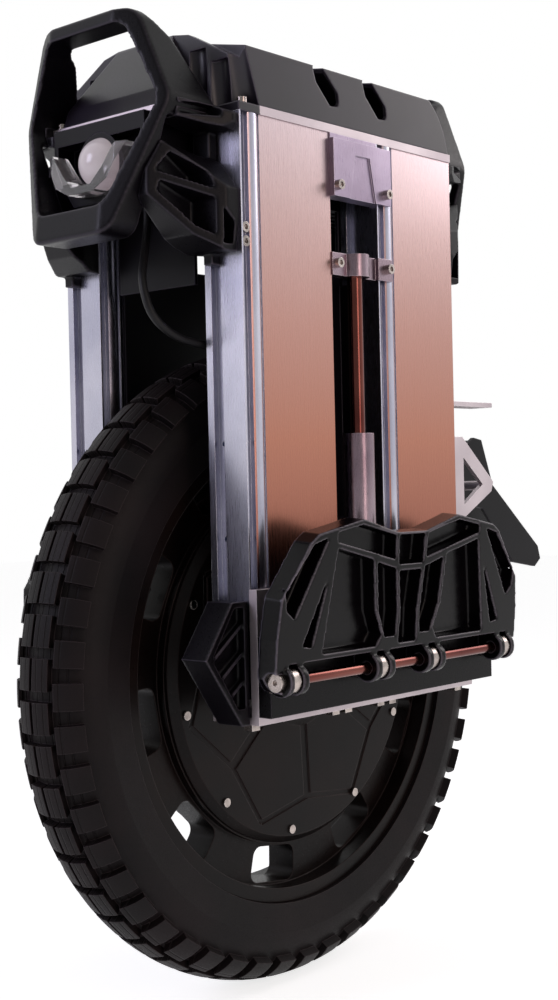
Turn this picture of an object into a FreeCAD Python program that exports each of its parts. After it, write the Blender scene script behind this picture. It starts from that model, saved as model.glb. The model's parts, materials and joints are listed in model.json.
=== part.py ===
import FreeCAD, Part
import math
import os

V = FreeCAD.Vector

# An electric unicycle: a hub-motor wheel, an unsprung hanger with folding pedals, and a frame of battery
# cases that slides on the hanger. Millimetres, +X forward, +Y to the rider's left, +Z up.
# The origin is the point where the tyre stands on the ground.

# Wheel
AXLE_HEIGHT = 250.0          # tyre radius, so the axle's height above the ground
CROWN_RADIUS = 40.5          # radius of the tread's cross section
TREAD_DEPTH = 6.5
TYRE_WALL = 6.0
BEAD_RADIUS = 181.0
BEAD_HALF_WIDTH = 24.5
TREAD_COUNT = 52
CENTRE_BLOCK_SHARE = 0.74    # block length as a share of the tread's pitch
SHOULDER_BLOCK_SHARE = 0.64
CENTRE_BLOCK_ANGLES = (2.0, 21.0)
SHOULDER_BLOCK_ANGLES = (27.0, 57.0)
RIM_FLANGE_RADIUS = 187.0
RIM_FLANGE_WIDTH = 3.6
RIM_BARREL = 5.0
DRUM_RADIUS = 143.0
DRUM_HALF_WIDTH = 20.0
DRUM_WALL = 10.0
SPOKE_COUNT = 10
SPOKE_START = 7.5            # degrees from +X
SPOKE_HALF_DEPTH = 13.0
WINDOW_WIDTH_AT_DRUM = 46.0
WINDOW_WIDTH_AT_RIM = 52.0
WINDOW_CORNER = 8.0
WINDOW_MARGIN = 2.5          # web left at the drum and at the barrel
COVER_THICKNESS = 4.0
COVER_FACE = 28.0            # distance of a hub cover's outer face from the middle plane
COVER_BOSS_RADIUS = 44.0
COVER_BOSS_HEIGHT = 6.0
COVER_SCREW_INSET = 12.0      # screw circle inside the drum's rim
COVER_RELIEF_DEPTH = 1.2
COVER_RELIEF_WIDTH = 8.0
COVER_RELIEF_COUNT = 7
COVER_RELIEF_START = -93.0   # degrees from +X
COVER_RELIEF_INNER = 50.0
COVER_RELIEF_FORK = 0.75     # where a groove forks and where it ends, as shares of the drum's radius
COVER_RELIEF_TIP = 0.9
MAGNET_DEPTH = 4.0
AIR_GAP = 0.7
STATOR_HALF_WIDTH = 14.0
STATOR_RING = 33.0
WINDING_HEIGHT = 6.0
AXLE_RADIUS = 12.5
AXLE_SHOULDER_RADIUS = 16.0
BEARING_RADIUS = 23.5
BEARING_WIDTH = 12.0
VALVE_RADIUS = 4.0
VALVE_REACH = 0.72           # share of the gap between barrel and drum

# Frame of four battery cases
CASE_LENGTH = 100.0          # along X
CASE_WIDTH = 38.0            # along Y
CASE_HEIGHT = 360.5
CASE_OFFSET_X = 78.0         # case middle from the axle plane
CASE_OFFSET_Y = 74.7         # case middle from the middle plane
CASE_RISE = 44.0             # bottom of the cases above the axle
GROOVE_DEPTH = 5.0
END_GROOVE_FROM = 7.2        # from the case's -Y side, on its front face
END_GROOVE_WIDTH = 9.5
SIDE_FIN = 1.4               # wall left in front of the side groove
SIDE_GROOVE_WIDTH = 8.1
BEAD_WIDTH = 10.0
PANEL_RECESS = 1.2
PANEL_GAP = 2.0
CASE_WALL_X = 8.0
CASE_WALL_Y = 7.0
PACK_CLEARANCE = 0.3
CAP_THICKNESS = 4.0
PLATE_THICKNESS = 6.2
PLATE_TONGUE = 35.0          # how far the plate stands in front of the cases
PLATE_TONGUE_HALF_WIDTH = 64.0
CORNER_BLOCK_LENGTH = 22.0
HOLE_RADIUS = 2.1
HOLE_PLACES = (59.0, 127.0)  # above the bottom of a case

# Top cover, hood and controller; heights are above the top plate
COVER_FRONT_STEP = 1.0       # behind the front of the cases
COVER_REAR_STEP = 3.0
COVER_SIDE_HEIGHT = 40.3
COVER_HEIGHT = 51.3
COVER_ROOF_HALF_WIDTH = 45.0
COVER_SHELL = 3.0
COVER_REAR_CURVE = 62.0      # length over which the roof runs down at the rear
COVER_FRONT_WALL = 24.0      # solid front of the cover, with its screw wells
CREST_HEIGHT = 59.3          # the cover's front frame stands above its roof
CREST_HALF_WIDTH = 29.0
CREST_SHOULDER_HEIGHT = 56.3
CREST_SIDE_HEIGHT = 29.7
CREST_THICKNESS = 7.0
LEAF_FRONT_X = 33.0
LEAF_PITCH = 59.0
LEAF_RISE = 0.45
FLUTE_RADIUS = 9.0
FLUTE_PLACES = (54.0, 75.0)
FLUTE_LIP = 8.0              # rim left above a flute
WELL_RADIUS = 12.0
HOOD_NOSE_HALF_WIDTH = 53.0
HOOD_LIP = 14.0
CONTROLLER_FRONT_STEP = 10.0
CONTROLLER_REAR_STEP = 23.0
CONTROLLER_HALF_WIDTH = 52.0
CONTROLLER_HEIGHT = 46.5
CONTROLLER_WALL = 3.0
FIN_COUNT = 9
FIN_GROOVE = 5.0
FIN_DEPTH = 8.0
BUTTON_X = 60.0
BUTTON_RADIUS = 8.0
BUTTON_STAND = 2.5
BUTTON_TRAVEL = 1.5
RUNNING_GAP = 0.3

# Loops at the front and the rear; heights are from the top of the cases
LOOP_RISE = 70.5
LOOP_WAIST_RISE = 4.5        # height of the widest corner
LOOP_DROP = 88.5
LOOP_TOP_HALF_WIDTH = 49.0
LOOP_WAIST_HALF_WIDTH = 76.0
LOOP_BOTTOM_HALF_WIDTH = 40.0
LOOP_TOP_BAR = 10.0
LOOP_SIDE_BAR = 9.0
LOOP_BOTTOM_BAR = 21.0
LOOP_CORNER = 16.0
LOOP_INNER_CORNER = 12.0
LOOP_REACH = 69.5            # front rim at the waist's height, from the front of the cases
LOOP_LEAN = 0.12
LOOP_SWEEP = 0.456
LOOP_SWEEP_FROM = 33.0
LOOP_REAR = 44.0             # rear of the loop's top bar, from the front of the cases
LOOP_REAR_LEAN = 7.0
ARM_INNER_Y = 56.0
ARM_OUTER_Y = 92.5
ARM_PAD = 5.0                # flat pad on the corner of the case
SPINE_WIDTH = 15.5
SPINE_DEPTH = 8.0
TRUSS_DROP = 99.0            # foot of the lower bracket below the top of the cases
TRUSS_POCKET_FLOOR = 63.0
FLANGE_THICKNESS = 4.0
TONGUE_DROP = 8.0

# Lights
LAMP_DROP = 30.0             # beam below the top of the cases
LAMP_LENGTH = 48.0
LAMP_HALF_WIDTH = 48.0
LAMP_HEIGHT_BELOW = 28.0
LAMP_WALL = 4.0
PROJECTOR_RADIUS = 22.0
LENS_RADIUS = 18.0
LENS_CROWN = 13.0
LENS_SEAT = 5.0
BEZEL_DEPTH = 13.0
TAIL_LENS_DEPTH = 10.0
CABLE_RADIUS = 3.0
SPLASH_HALF_WIDTH = 40.0
SPLASH_THICKNESS = 3.0
SPLASH_HEIGHT = 116.5
LINER_THICKNESS = 3.0
LINER_FLANGE = 1.5

# Suspension; the brackets hang from the top of the cases
TRAVEL = 60.0
SHOCK_Y = 92.0
ROD_RADIUS = 5.75
TUBE_RADIUS = 12.3
TUBE_BORE = 9.0
TUBE_LENGTH = 129.0
GLAND_LENGTH = 12.0
PISTON_LENGTH = 12.0
SLIDE_FIT = 0.05
COLLAR_DROP = 89.5
COLLAR_HEIGHT = 17.0
COLLAR_RADIUS = 11.5
BRACKET_HEIGHT = 47.5
EAR_THICKNESS = 3.3
EAR_LENGTH = 14.0

# Hanger; heights are from the axle
HANGER_INNER_Y = 95.5
HANGER_THICKNESS = 7.0
HANGER_HALF_LENGTH = 131.0
HANGER_RISE = 68.0
HANGER_DROP = 27.0
HANGER_FLOOR = 5.0
HANGER_FLOOR_INNER_Y = 58.0
SLOT_CLEARANCE = 4.0
AXLE_BLOCK_RISE = 50.0
AXLE_BLOCK_INNER_Y = 40.0
SLIDE_BLOCK_DROP = 10.0
SLIDE_BLOCK_RISE = 62.0
GUARD_INNER_Y = 70.0
GUARD_OUTER_Y = 94.0
GUARD_RISE = 60.0
GUARD_NOSE = 43.0            # how far the guard stands in front of the hanger
GUARD_RECESS = 7.0
GUARD_WALL = 4.0
GUARD_RIB = 3.0
GUARD_RIB_COUNT = 3

# Pedals
HINGE_REACH = 14.0           # hinge axis from the pedal base's outer face
HINGE_RISE = 6.0             # hinge axis above the axle
HINGE_RADIUS = 4.0
HINGE_END = 9.0              # end of the hinge rod inside the end of the pedal
LUG_RADIUS = 9.0
LUG_WIDTH = 8.0
LUG_NEAR = 32.0
LUG_END = 18.0               # outer lugs inside the end of the pedal
LUG_GAP = 0.5
BASE_THICKNESS = 11.5
BASE_FOOT = 6.0              # bottom of the base above the bottom of the hanger
BASE_HEIGHT = 56.0
BASE_REAR_REACH = 12.0       # how far the base stands out behind the hanger
PEDAL_INNER = -13.0          # grip side of the pedal, from the hinge axis
PEDAL_PLATE = 4.5
PEDAL_THICKNESS = 17.0
PEDAL_TILT = 5.5             # degrees that a folded pedal leans out
PEDAL_HEIGHT = 110.0
PEDAL_HALF_LENGTH = 148.0
PEDAL_SHIFT = -1.5           # middle of the pedal behind the axle
KNUCKLE_RADIUS = 11.0
KNUCKLE_WIDTH = 6.5
PIN_FIT = 0.06
GRIP_THICKNESS = 1.4
STUD_RADIUS = 1.8
STUD_HEIGHT = 2.0
STUD_PITCH = 16.0

# Mudguard at the rear
FENDER_PIN_REACH = 51.0      # pin behind the cases
FENDER_PIN_RISE = 93.0       # pin above the bottom of the cases
FENDER_HALF_WIDTH = 44.0
FENDER_THICKNESS = 3.5
FENDER_PIN_RADIUS = 4.0
TRIANGLE_OUTER_Y = 92.0
TRIANGLE_THICKNESS = 4.0
STAY_RISE = 162.0
STAY_LENGTH = 67.0
STAY_WIDTH = 22.0
STAY_THICKNESS = 4.0

# Screws
CAP_HEAD_RADIUS = 3.75
CAP_HEAD_HEIGHT = 4.5
SOCKET_RADIUS = 2.0
SOCKET_DEPTH = 2.2
PAN_HEAD_RADIUS = 6.5
PAN_HEAD_HEIGHT = 5.0
HUB_HEAD_RADIUS = 3.4
HUB_HEAD_HEIGHT = 1.6
BOLT_HEAD_SIDE = 8.0
BOLT_HEAD_HEIGHT = 5.0
BOLT_PLACES = (20.0, 35.0, 124.0)
BOLT_Y = 89.0

# Places that follow from the sizes above
CASE_FRONT = CASE_OFFSET_X + CASE_LENGTH / 2
CASE_SLOT = CASE_OFFSET_X - CASE_LENGTH / 2
CASE_INNER_Y = CASE_OFFSET_Y - CASE_WIDTH / 2
CASE_OUTER_Y = CASE_OFFSET_Y + CASE_WIDTH / 2
CASE_BOTTOM = AXLE_HEIGHT + CASE_RISE
CASE_TOP = CASE_BOTTOM + CASE_HEIGHT
PLATE_TOP = CASE_TOP + PLATE_THICKNESS
PLATE_TONGUE_X = CASE_FRONT + PLATE_TONGUE
COVER_FRONT_X = CASE_FRONT - COVER_FRONT_STEP
COVER_REAR_X = -CASE_FRONT + COVER_REAR_STEP
COVER_SIDE_TOP = PLATE_TOP + COVER_SIDE_HEIGHT
COVER_ROOF = PLATE_TOP + COVER_HEIGHT
CREST_TOP = PLATE_TOP + CREST_HEIGHT
CONTROLLER_FRONT_X = CASE_FRONT - CONTROLLER_FRONT_STEP
CONTROLLER_REAR_X = -CASE_FRONT + CONTROLLER_REAR_STEP
CONTROLLER_BOTTOM = CASE_TOP - CONTROLLER_HEIGHT
LOOP_TOP = CASE_TOP + LOOP_RISE
LOOP_WAIST = CASE_TOP + LOOP_WAIST_RISE
LOOP_BOTTOM = CASE_TOP - LOOP_DROP
LOOP_FRONT_X = CASE_FRONT + LOOP_REACH
LOOP_LIMIT_X = LOOP_FRONT_X + 40.0
TRUSS_FOOT = CASE_TOP - TRUSS_DROP
TRUSS_INNER_Y = LAMP_HALF_WIDTH + RUNNING_GAP
LAMP_Z = CASE_TOP - LAMP_DROP
LAMP_BOTTOM = LAMP_Z - LAMP_HEIGHT_BELOW
LAMP_FRONT_X = CASE_FRONT + LAMP_LENGTH
HANGER_OUTER_Y = HANGER_INNER_Y + HANGER_THICKNESS
HANGER_TOP = AXLE_HEIGHT + HANGER_RISE
HANGER_BOTTOM = AXLE_HEIGHT - HANGER_DROP
HANGER_FLOOR_TOP = HANGER_BOTTOM + HANGER_FLOOR
AXLE_BLOCK_TOP = AXLE_HEIGHT + AXLE_BLOCK_RISE
GUARD_TOP = AXLE_HEIGHT + GUARD_RISE
TUBE_TOP = AXLE_BLOCK_TOP + TUBE_LENGTH
COLLAR_TOP = CASE_TOP - COLLAR_DROP
COLLAR_BOTTOM = COLLAR_TOP - COLLAR_HEIGHT
BRACKET_BOTTOM = CASE_TOP - BRACKET_HEIGHT
BASE_OUTER_Y = HANGER_OUTER_Y + BASE_THICKNESS
BASE_BOTTOM = HANGER_BOTTOM + BASE_FOOT
BASE_TOP = BASE_BOTTOM + BASE_HEIGHT
HINGE_Y = BASE_OUTER_Y + HINGE_REACH
HINGE_Z = AXLE_HEIGHT + HINGE_RISE
HINGE_HALF_LENGTH = PEDAL_HALF_LENGTH - HINGE_END
LUG_FAR = PEDAL_HALF_LENGTH - LUG_END
FENDER_PIN_X = -CASE_FRONT - FENDER_PIN_REACH
FENDER_PIN_Z = CASE_BOTTOM + FENDER_PIN_RISE
STAY_HEIGHT = CASE_BOTTOM + STAY_RISE
COVER_SCREW_CIRCLE = DRUM_RADIUS - COVER_SCREW_INSET
SECTION_CENTRE = AXLE_HEIGHT - CROWN_RADIUS
CARCASS_RADIUS = CROWN_RADIUS - TREAD_DEPTH
DRUM_BORE = DRUM_RADIUS - DRUM_WALL
SIDE_GROOVE_X = CASE_LENGTH / 2 - SIDE_FIN - SIDE_GROOVE_WIDTH / 2
END_GROOVE_Y = -CASE_WIDTH / 2 + END_GROOVE_FROM + END_GROOVE_WIDTH / 2
CASES = {
    "front_left": (CASE_OFFSET_X, CASE_OFFSET_Y),
    "front_right": (CASE_OFFSET_X, -CASE_OFFSET_Y),
    "rear_left": (-CASE_OFFSET_X, CASE_OFFSET_Y),
    "rear_right": (-CASE_OFFSET_X, -CASE_OFFSET_Y),
}


# Helpers for plain solids


def block(x0, x1, y0, y1, z0, z1):
    return Part.makeBox(x1 - x0, y1 - y0, z1 - z0, V(x0, y0, z0))


def rod(radius, start, end):
    direction = V(*end) - V(*start)
    return Part.makeCylinder(radius, direction.Length, V(*start), direction)


def spot(axis, u, v, w):
    if axis == "x":
        return V(w, u, v)
    if axis == "y":
        return V(u, w, v)
    return V(u, v, w)


def outline(points, axis, place, radius=0.0):
    """A closed wire across an axis, with its corners rounded if a radius is given."""
    edges = []
    count = len(points)
    ends = []
    for i in range(count):
        here = spot(axis, *points[i], place)
        if radius == 0.0:
            ends.append((here, None, here))
            continue
        back = spot(axis, *points[i - 1], place) - here
        ahead = spot(axis, *points[(i + 1) % count], place) - here
        half = back.getAngle(ahead) / 2
        reach = min(radius / math.tan(half), 0.45 * back.Length, 0.45 * ahead.Length)
        to_centre = (back.normalize() + ahead.normalize()).normalize()
        turn = reach * math.tan(half)
        middle = here + to_centre * (reach / math.cos(half) - turn)
        ends.append((here + back * reach, middle, here + ahead * reach))
    for i in range(count):
        first, middle, last = ends[i]
        if middle is not None:
            edges.append(Part.Arc(first, middle, last).toShape())
        edges.append(Part.makeLine(last, ends[(i + 1) % count][0]))
    return Part.Wire(edges)


def prism(points, axis, start, end, radius=0.0):
    """A flat outline pushed along an axis from start to end."""
    face = Part.Face(outline(points, axis, start, radius))
    return face.extrude(spot(axis, 0, 0, end - start))


def ring(outer, inner, y0, y1):
    """A ring round the axle."""
    turned = rod(outer, (0, y0, AXLE_HEIGHT), (0, y1, AXLE_HEIGHT))
    return turned.cut(rod(inner, (0, y0, AXLE_HEIGHT), (0, y1, AXLE_HEIGHT)))


def turned(shape):
    """The same piece on the other side, turned half round about the vertical."""
    copy = shape.copy()
    copy.rotate(V(0, 0, 0), V(0, 0, 1), 180)
    return copy


def across(shape):
    """The mirrored piece on the rider's right."""
    return shape.mirror(V(0, 0, 0), V(0, 1, 0))


def behind(shape):
    """The mirrored piece at the rear."""
    return shape.mirror(V(0, 0, 0), V(1, 0, 0))


def about_axle(shape, angle):
    copy = shape.copy()
    copy.rotate(V(0, 0, AXLE_HEIGHT), V(0, -1, 0), angle)
    return copy


def group(shapes):
    return Part.makeCompound(shapes)


def pair(left):
    return group([left, across(left)])


def fused(shapes):
    whole = shapes[0].fuse(shapes[1:])
    return whole.removeSplitter()


def cap_screw(place, direction):
    """A socket-head screw that stands on a face at place, with its shank sunk behind it."""
    out = V(*direction)
    seat = V(*place)
    head = Part.makeCylinder(CAP_HEAD_RADIUS, CAP_HEAD_HEIGHT, seat, out)
    socket = Part.makeCylinder(SOCKET_RADIUS, SOCKET_DEPTH, seat + out * (CAP_HEAD_HEIGHT - SOCKET_DEPTH),
                               out)
    return head.cut(socket)


# Wheel


def section_point(angle, radius):
    """A point of the tyre's cross section, by the angle from its crown."""
    a = math.radians(angle)
    return V(0, radius * math.sin(a), AXLE_HEIGHT + SECTION_CENTRE + radius * math.cos(a))


def section_arc(start, end, radius):
    middle = section_point((start + end) / 2, radius)
    return Part.Arc(section_point(start, radius), middle, section_point(end, radius)).toShape()


def spun(face, start, angle):
    """A cross-section face swept round the axle from a starting angle."""
    solid = face.revolve(V(0, 0, AXLE_HEIGHT), V(0, 1, 0), angle)
    if solid.Volume < 0:
        solid.reverse()
    solid.rotate(V(0, 0, AXLE_HEIGHT), V(0, 1, 0), start)
    return solid


def carcass_half():
    """The right half of the tyre's cross section without its tread blocks."""
    bore = CARCASS_RADIUS - TYRE_WALL
    foot = AXLE_HEIGHT + BEAD_RADIUS
    lip = AXLE_HEIGHT + RIM_FLANGE_RADIUS + RUNNING_GAP
    middle = AXLE_HEIGHT + SECTION_CENTRE
    side = [V(0, -bore, middle), V(0, -BEAD_HALF_WIDTH + TYRE_WALL, lip + TYRE_WALL / 2),
            V(0, -BEAD_HALF_WIDTH + TYRE_WALL, foot), V(0, -BEAD_HALF_WIDTH, foot),
            V(0, -BEAD_HALF_WIDTH, lip),
            V(0, -BEAD_HALF_WIDTH - 2 * RIM_FLANGE_WIDTH, lip), V(0, -CARCASS_RADIUS, middle)]
    edges = [section_arc(-90, -45, CARCASS_RADIUS), section_arc(-45, 0, CARCASS_RADIUS),
             Part.makeLine(section_point(0, CARCASS_RADIUS), section_point(0, bore)),
             section_arc(0, -90, bore)]
    edges += [Part.makeLine(a, b) for a, b in zip(side, side[1:])]
    return Part.Face(Part.Wire(edges))


def block_face(angles):
    root = CARCASS_RADIUS - 1.0
    first, last = -angles[0], -angles[1]
    edges = [section_arc(first, last, CROWN_RADIUS),
             Part.makeLine(section_point(last, CROWN_RADIUS), section_point(last, root)),
             section_arc(last, first, root),
             Part.makeLine(section_point(first, root), section_point(first, CROWN_RADIUS))]
    return Part.Face(Part.Wire(edges))


def tyre():
    """Half of one pitch of the tread is built; its skin is mirrored, repeated round the wheel and sewn."""
    pitch = 360.0 / TREAD_COUNT
    half_shoulder = pitch * SHOULDER_BLOCK_SHARE / 2
    centre = pitch * CENTRE_BLOCK_SHARE
    shoulder = block_face(SHOULDER_BLOCK_ANGLES)
    blocks = [spun(block_face(CENTRE_BLOCK_ANGLES), (pitch - centre) / 2, centre),
              spun(shoulder, 0, half_shoulder), spun(shoulder, pitch - half_shoulder, half_shoulder)]
    sector = spun(carcass_half(), 0, pitch)
    for piece in blocks:
        sector = sector.fuse(piece)
    axis = V(0, 0, AXLE_HEIGHT)
    faces = []
    for face in sector.Faces:
        back = face.copy()
        back.rotate(axis, V(0, 1, 0), -pitch)
        at_end = min(abs(face.CenterOfMass.x), abs(back.CenterOfMass.x)) < 1e-6
        in_middle = max(abs(v.Y) for v in face.Vertexes) < 1e-6
        if not at_end and not in_middle:
            faces += [face, across(face)]
    skin = []
    for i in range(TREAD_COUNT):
        for face in faces:
            copy = face.copy()
            copy.rotate(axis, V(0, 1, 0), i * pitch)
            skin.append(copy)
    shell = Part.makeShell(skin)
    shell.sewShape()
    solid = Part.makeSolid(shell)
    if solid.Volume < 0:
        solid.reverse()
    return solid


def rim():
    web = ring(BEAD_RADIUS - RIM_BARREL / 2, DRUM_RADIUS - DRUM_WALL / 2, -SPOKE_HALF_DEPTH, SPOKE_HALF_DEPTH)
    drum = ring(DRUM_RADIUS, DRUM_BORE, -DRUM_HALF_WIDTH, DRUM_HALF_WIDTH)
    parts = [web, drum]
    for side in (1, -1):
        inner = side * BEAD_HALF_WIDTH
        outer = side * (BEAD_HALF_WIDTH + RIM_FLANGE_WIDTH)
        parts.append(ring(RIM_FLANGE_RADIUS, BEAD_RADIUS - RIM_BARREL, min(inner, outer), max(inner, outer)))
    barrel = ring(BEAD_RADIUS, BEAD_RADIUS - RIM_BARREL, -BEAD_HALF_WIDTH - RIM_FLANGE_WIDTH,
                  BEAD_HALF_WIDTH + RIM_FLANGE_WIDTH)
    wheel = barrel.fuse(parts)
    low = DRUM_RADIUS + WINDOW_MARGIN
    high = BEAD_RADIUS - RIM_BARREL - WINDOW_MARGIN
    window = prism([(low, AXLE_HEIGHT - WINDOW_WIDTH_AT_DRUM / 2),
                    (high, AXLE_HEIGHT - WINDOW_WIDTH_AT_RIM / 2),
                    (high, AXLE_HEIGHT + WINDOW_WIDTH_AT_RIM / 2),
                    (low, AXLE_HEIGHT + WINDOW_WIDTH_AT_DRUM / 2)],
                   "y", -SPOKE_HALF_DEPTH - 1, SPOKE_HALF_DEPTH + 1, WINDOW_CORNER)
    cuts = [about_axle(window, SPOKE_START + (i + 0.5) * 360.0 / SPOKE_COUNT) for i in range(SPOKE_COUNT)]
    return wheel.cut(cuts + [valve_bore()])


def valve_tip():
    gap = BEAD_RADIUS - RIM_BARREL - DRUM_RADIUS
    return BEAD_RADIUS - RIM_BARREL - VALVE_REACH * gap


def valve_bore():
    bore = rod(VALVE_RADIUS, (valve_tip(), 0, AXLE_HEIGHT), (BEAD_RADIUS + 1, 0, AXLE_HEIGHT))
    return about_axle(bore, SPOKE_START + 180.0 / SPOKE_COUNT)


def valve():
    low = valve_tip()
    knee = low + (BEAD_RADIUS - RIM_BARREL - low) / 3
    stem = rod(VALVE_RADIUS, (knee, 0, AXLE_HEIGHT), (BEAD_RADIUS, 0, AXLE_HEIGHT))
    neck = rod(VALVE_RADIUS - 1, (low, 0, AXLE_HEIGHT), (knee, 0, AXLE_HEIGHT))
    return about_axle(fused([stem, neck]), SPOKE_START + 180.0 / SPOKE_COUNT)


def hub_cover():
    """The left cover: a dished disc with a bearing boss and straight relief grooves."""
    inner = COVER_FACE - COVER_THICKNESS
    profile = [(BEARING_RADIUS, inner - 4), (COVER_BOSS_RADIUS, inner - 4), (COVER_BOSS_RADIUS, inner),
               (DRUM_BORE - 2, inner), (DRUM_BORE + 1, DRUM_HALF_WIDTH), (DRUM_RADIUS - 1.4, DRUM_HALF_WIDTH),
               (DRUM_RADIUS - 1.4, DRUM_HALF_WIDTH + 2), (DRUM_RADIUS - 7, COVER_FACE),
               (COVER_BOSS_RADIUS + 6, COVER_FACE),
               (COVER_BOSS_RADIUS, COVER_FACE + COVER_BOSS_HEIGHT),
               (BEARING_RADIUS, COVER_FACE + COVER_BOSS_HEIGHT)]
    points = [V(0, y, AXLE_HEIGHT + r) for r, y in profile]
    face = Part.Face(Part.makePolygon(points + points[:1]))
    disc = face.revolve(V(0, 0, AXLE_HEIGHT), V(0, 1, 0), 360)
    cuts = []
    half = COVER_RELIEF_WIDTH / 2
    step = 360.0 / COVER_RELIEF_COUNT
    bottom = COVER_FACE - COVER_RELIEF_DEPTH
    fork = DRUM_RADIUS * COVER_RELIEF_FORK
    tip = DRUM_RADIUS * COVER_RELIEF_TIP
    tip_x, tip_z = tip * math.cos(math.radians(step / 2)), tip * math.sin(math.radians(step / 2))
    length = math.hypot(tip_x - fork, tip_z)
    lean = math.degrees(math.atan2(tip_z, tip_x - fork))
    for i in range(COVER_RELIEF_COUNT):
        place = COVER_RELIEF_START + i * step
        trunk = block(COVER_RELIEF_INNER, fork, bottom, COVER_FACE + 1, AXLE_HEIGHT - half,
                      AXLE_HEIGHT + half)
        cuts.append(about_axle(trunk, place))
        for side in (1, -1):
            branch = block(0, length, bottom, COVER_FACE + 1, AXLE_HEIGHT - half / 2, AXLE_HEIGHT + half / 2)
            branch.rotate(V(0, 0, AXLE_HEIGHT), V(0, -1, 0), side * lean)
            branch.translate(V(fork, 0, 0))
            cuts.append(about_axle(branch, place))
    disc = disc.cut(cuts)
    return disc.cut([hub_screw_at(i, SOCKET_RADIUS, bottom) for i in range(SPOKE_COUNT)])


def hub_screw_at(i, radius, start):
    angle = SPOKE_START + 17.0 + i * 360.0 / SPOKE_COUNT
    pin = rod(radius, (COVER_SCREW_CIRCLE, start, AXLE_HEIGHT), (COVER_SCREW_CIRCLE, COVER_FACE, AXLE_HEIGHT))
    return about_axle(pin, angle)


def hub_screws():
    heads = []
    for i in range(SPOKE_COUNT):
        angle = SPOKE_START + 17.0 + i * 360.0 / SPOKE_COUNT
        centre = COVER_SCREW_CIRCLE
        head = rod(HUB_HEAD_RADIUS, (centre, COVER_FACE, AXLE_HEIGHT),
                   (centre, COVER_FACE + HUB_HEAD_HEIGHT, AXLE_HEIGHT))
        shank = rod(SOCKET_RADIUS, (centre, COVER_FACE - COVER_RELIEF_DEPTH, AXLE_HEIGHT),
                    (centre, COVER_FACE, AXLE_HEIGHT))
        heads.append(about_axle(fused([head, shank]), angle))
    return group(heads + [across(h) for h in heads])


def magnet_ring():
    return ring(DRUM_BORE, DRUM_BORE - MAGNET_DEPTH, -STATOR_HALF_WIDTH, STATOR_HALF_WIDTH)


def stator_core():
    outer = DRUM_BORE - MAGNET_DEPTH - AIR_GAP
    core = ring(outer, outer - STATOR_RING, -STATOR_HALF_WIDTH, STATOR_HALF_WIDTH)
    web = ring(outer - STATOR_RING, AXLE_SHOULDER_RADIUS, -STATOR_HALF_WIDTH / 2, STATOR_HALF_WIDTH / 2)
    return core.fuse(web)


def windings():
    outer = DRUM_BORE - MAGNET_DEPTH - AIR_GAP - 6
    inner = outer - STATOR_RING + 10
    left = ring(outer, inner, STATOR_HALF_WIDTH, STATOR_HALF_WIDTH + WINDING_HEIGHT)
    return group([left, across(left)])


def axle():
    reach = HANGER_INNER_Y
    shaft = rod(AXLE_RADIUS, (0, -reach, AXLE_HEIGHT), (0, reach, AXLE_HEIGHT))
    shoulder = rod(AXLE_SHOULDER_RADIUS, (0, -STATOR_HALF_WIDTH, AXLE_HEIGHT),
                   (0, STATOR_HALF_WIDTH, AXLE_HEIGHT))
    return shaft.fuse(shoulder)


def bearings():
    outer_face = COVER_FACE + COVER_BOSS_HEIGHT - 1
    left = ring(BEARING_RADIUS, AXLE_RADIUS + SLIDE_FIT, outer_face - BEARING_WIDTH, outer_face)
    return group([left, across(left)])


# Battery cases


def case_outline():
    """The extrusion's outline about its own middle, the same seen from either end."""
    a, b = CASE_LENGTH / 2, CASE_WIDTH / 2
    low = -b + END_GROOVE_FROM
    groove_front = a - SIDE_FIN
    groove_back = groove_front - SIDE_GROOVE_WIDTH
    bead_back = groove_back - BEAD_WIDTH
    half = [(a, low), (a - GROOVE_DEPTH, low), (a - GROOVE_DEPTH, low + END_GROOVE_WIDTH),
            (a, low + END_GROOVE_WIDTH),
            (a, b), (groove_front, b), (groove_front, b - GROOVE_DEPTH), (groove_back, b - GROOVE_DEPTH),
            (groove_back, b - PANEL_RECESS), "bead", (bead_back, b - PANEL_RECESS),
            (bead_back, b - 2 * PANEL_RECESS), (bead_back - PANEL_GAP, b - 2 * PANEL_RECESS),
            (bead_back - PANEL_GAP, b - PANEL_RECESS), (-a, b - PANEL_RECESS)]
    edges = []
    for turn in (1, -1):
        points = [p if p == "bead" else V(turn * p[0], turn * p[1], 0) for p in half]
        for i in range(len(points) - 1):
            if points[i] == "bead":
                continue
            if points[i + 1] == "bead":
                crest = V(turn * (groove_back - BEAD_WIDTH / 2), turn * b, 0)
                edges.append(Part.Arc(points[i], crest, points[i + 2]).toShape())
            else:
                edges.append(Part.makeLine(points[i], points[i + 1]))
        start = V(-turn * a, -turn * low, 0)
        edges.append(Part.makeLine(points[-1], start))
    return Part.Wire(edges)


def cavity(z0, z1, gap=0.0):
    a = CASE_LENGTH / 2 - CASE_WALL_X - gap
    b = CASE_WIDTH / 2 - CASE_WALL_Y - gap
    return block(-a, a, -b, b, z0, z1)


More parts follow.
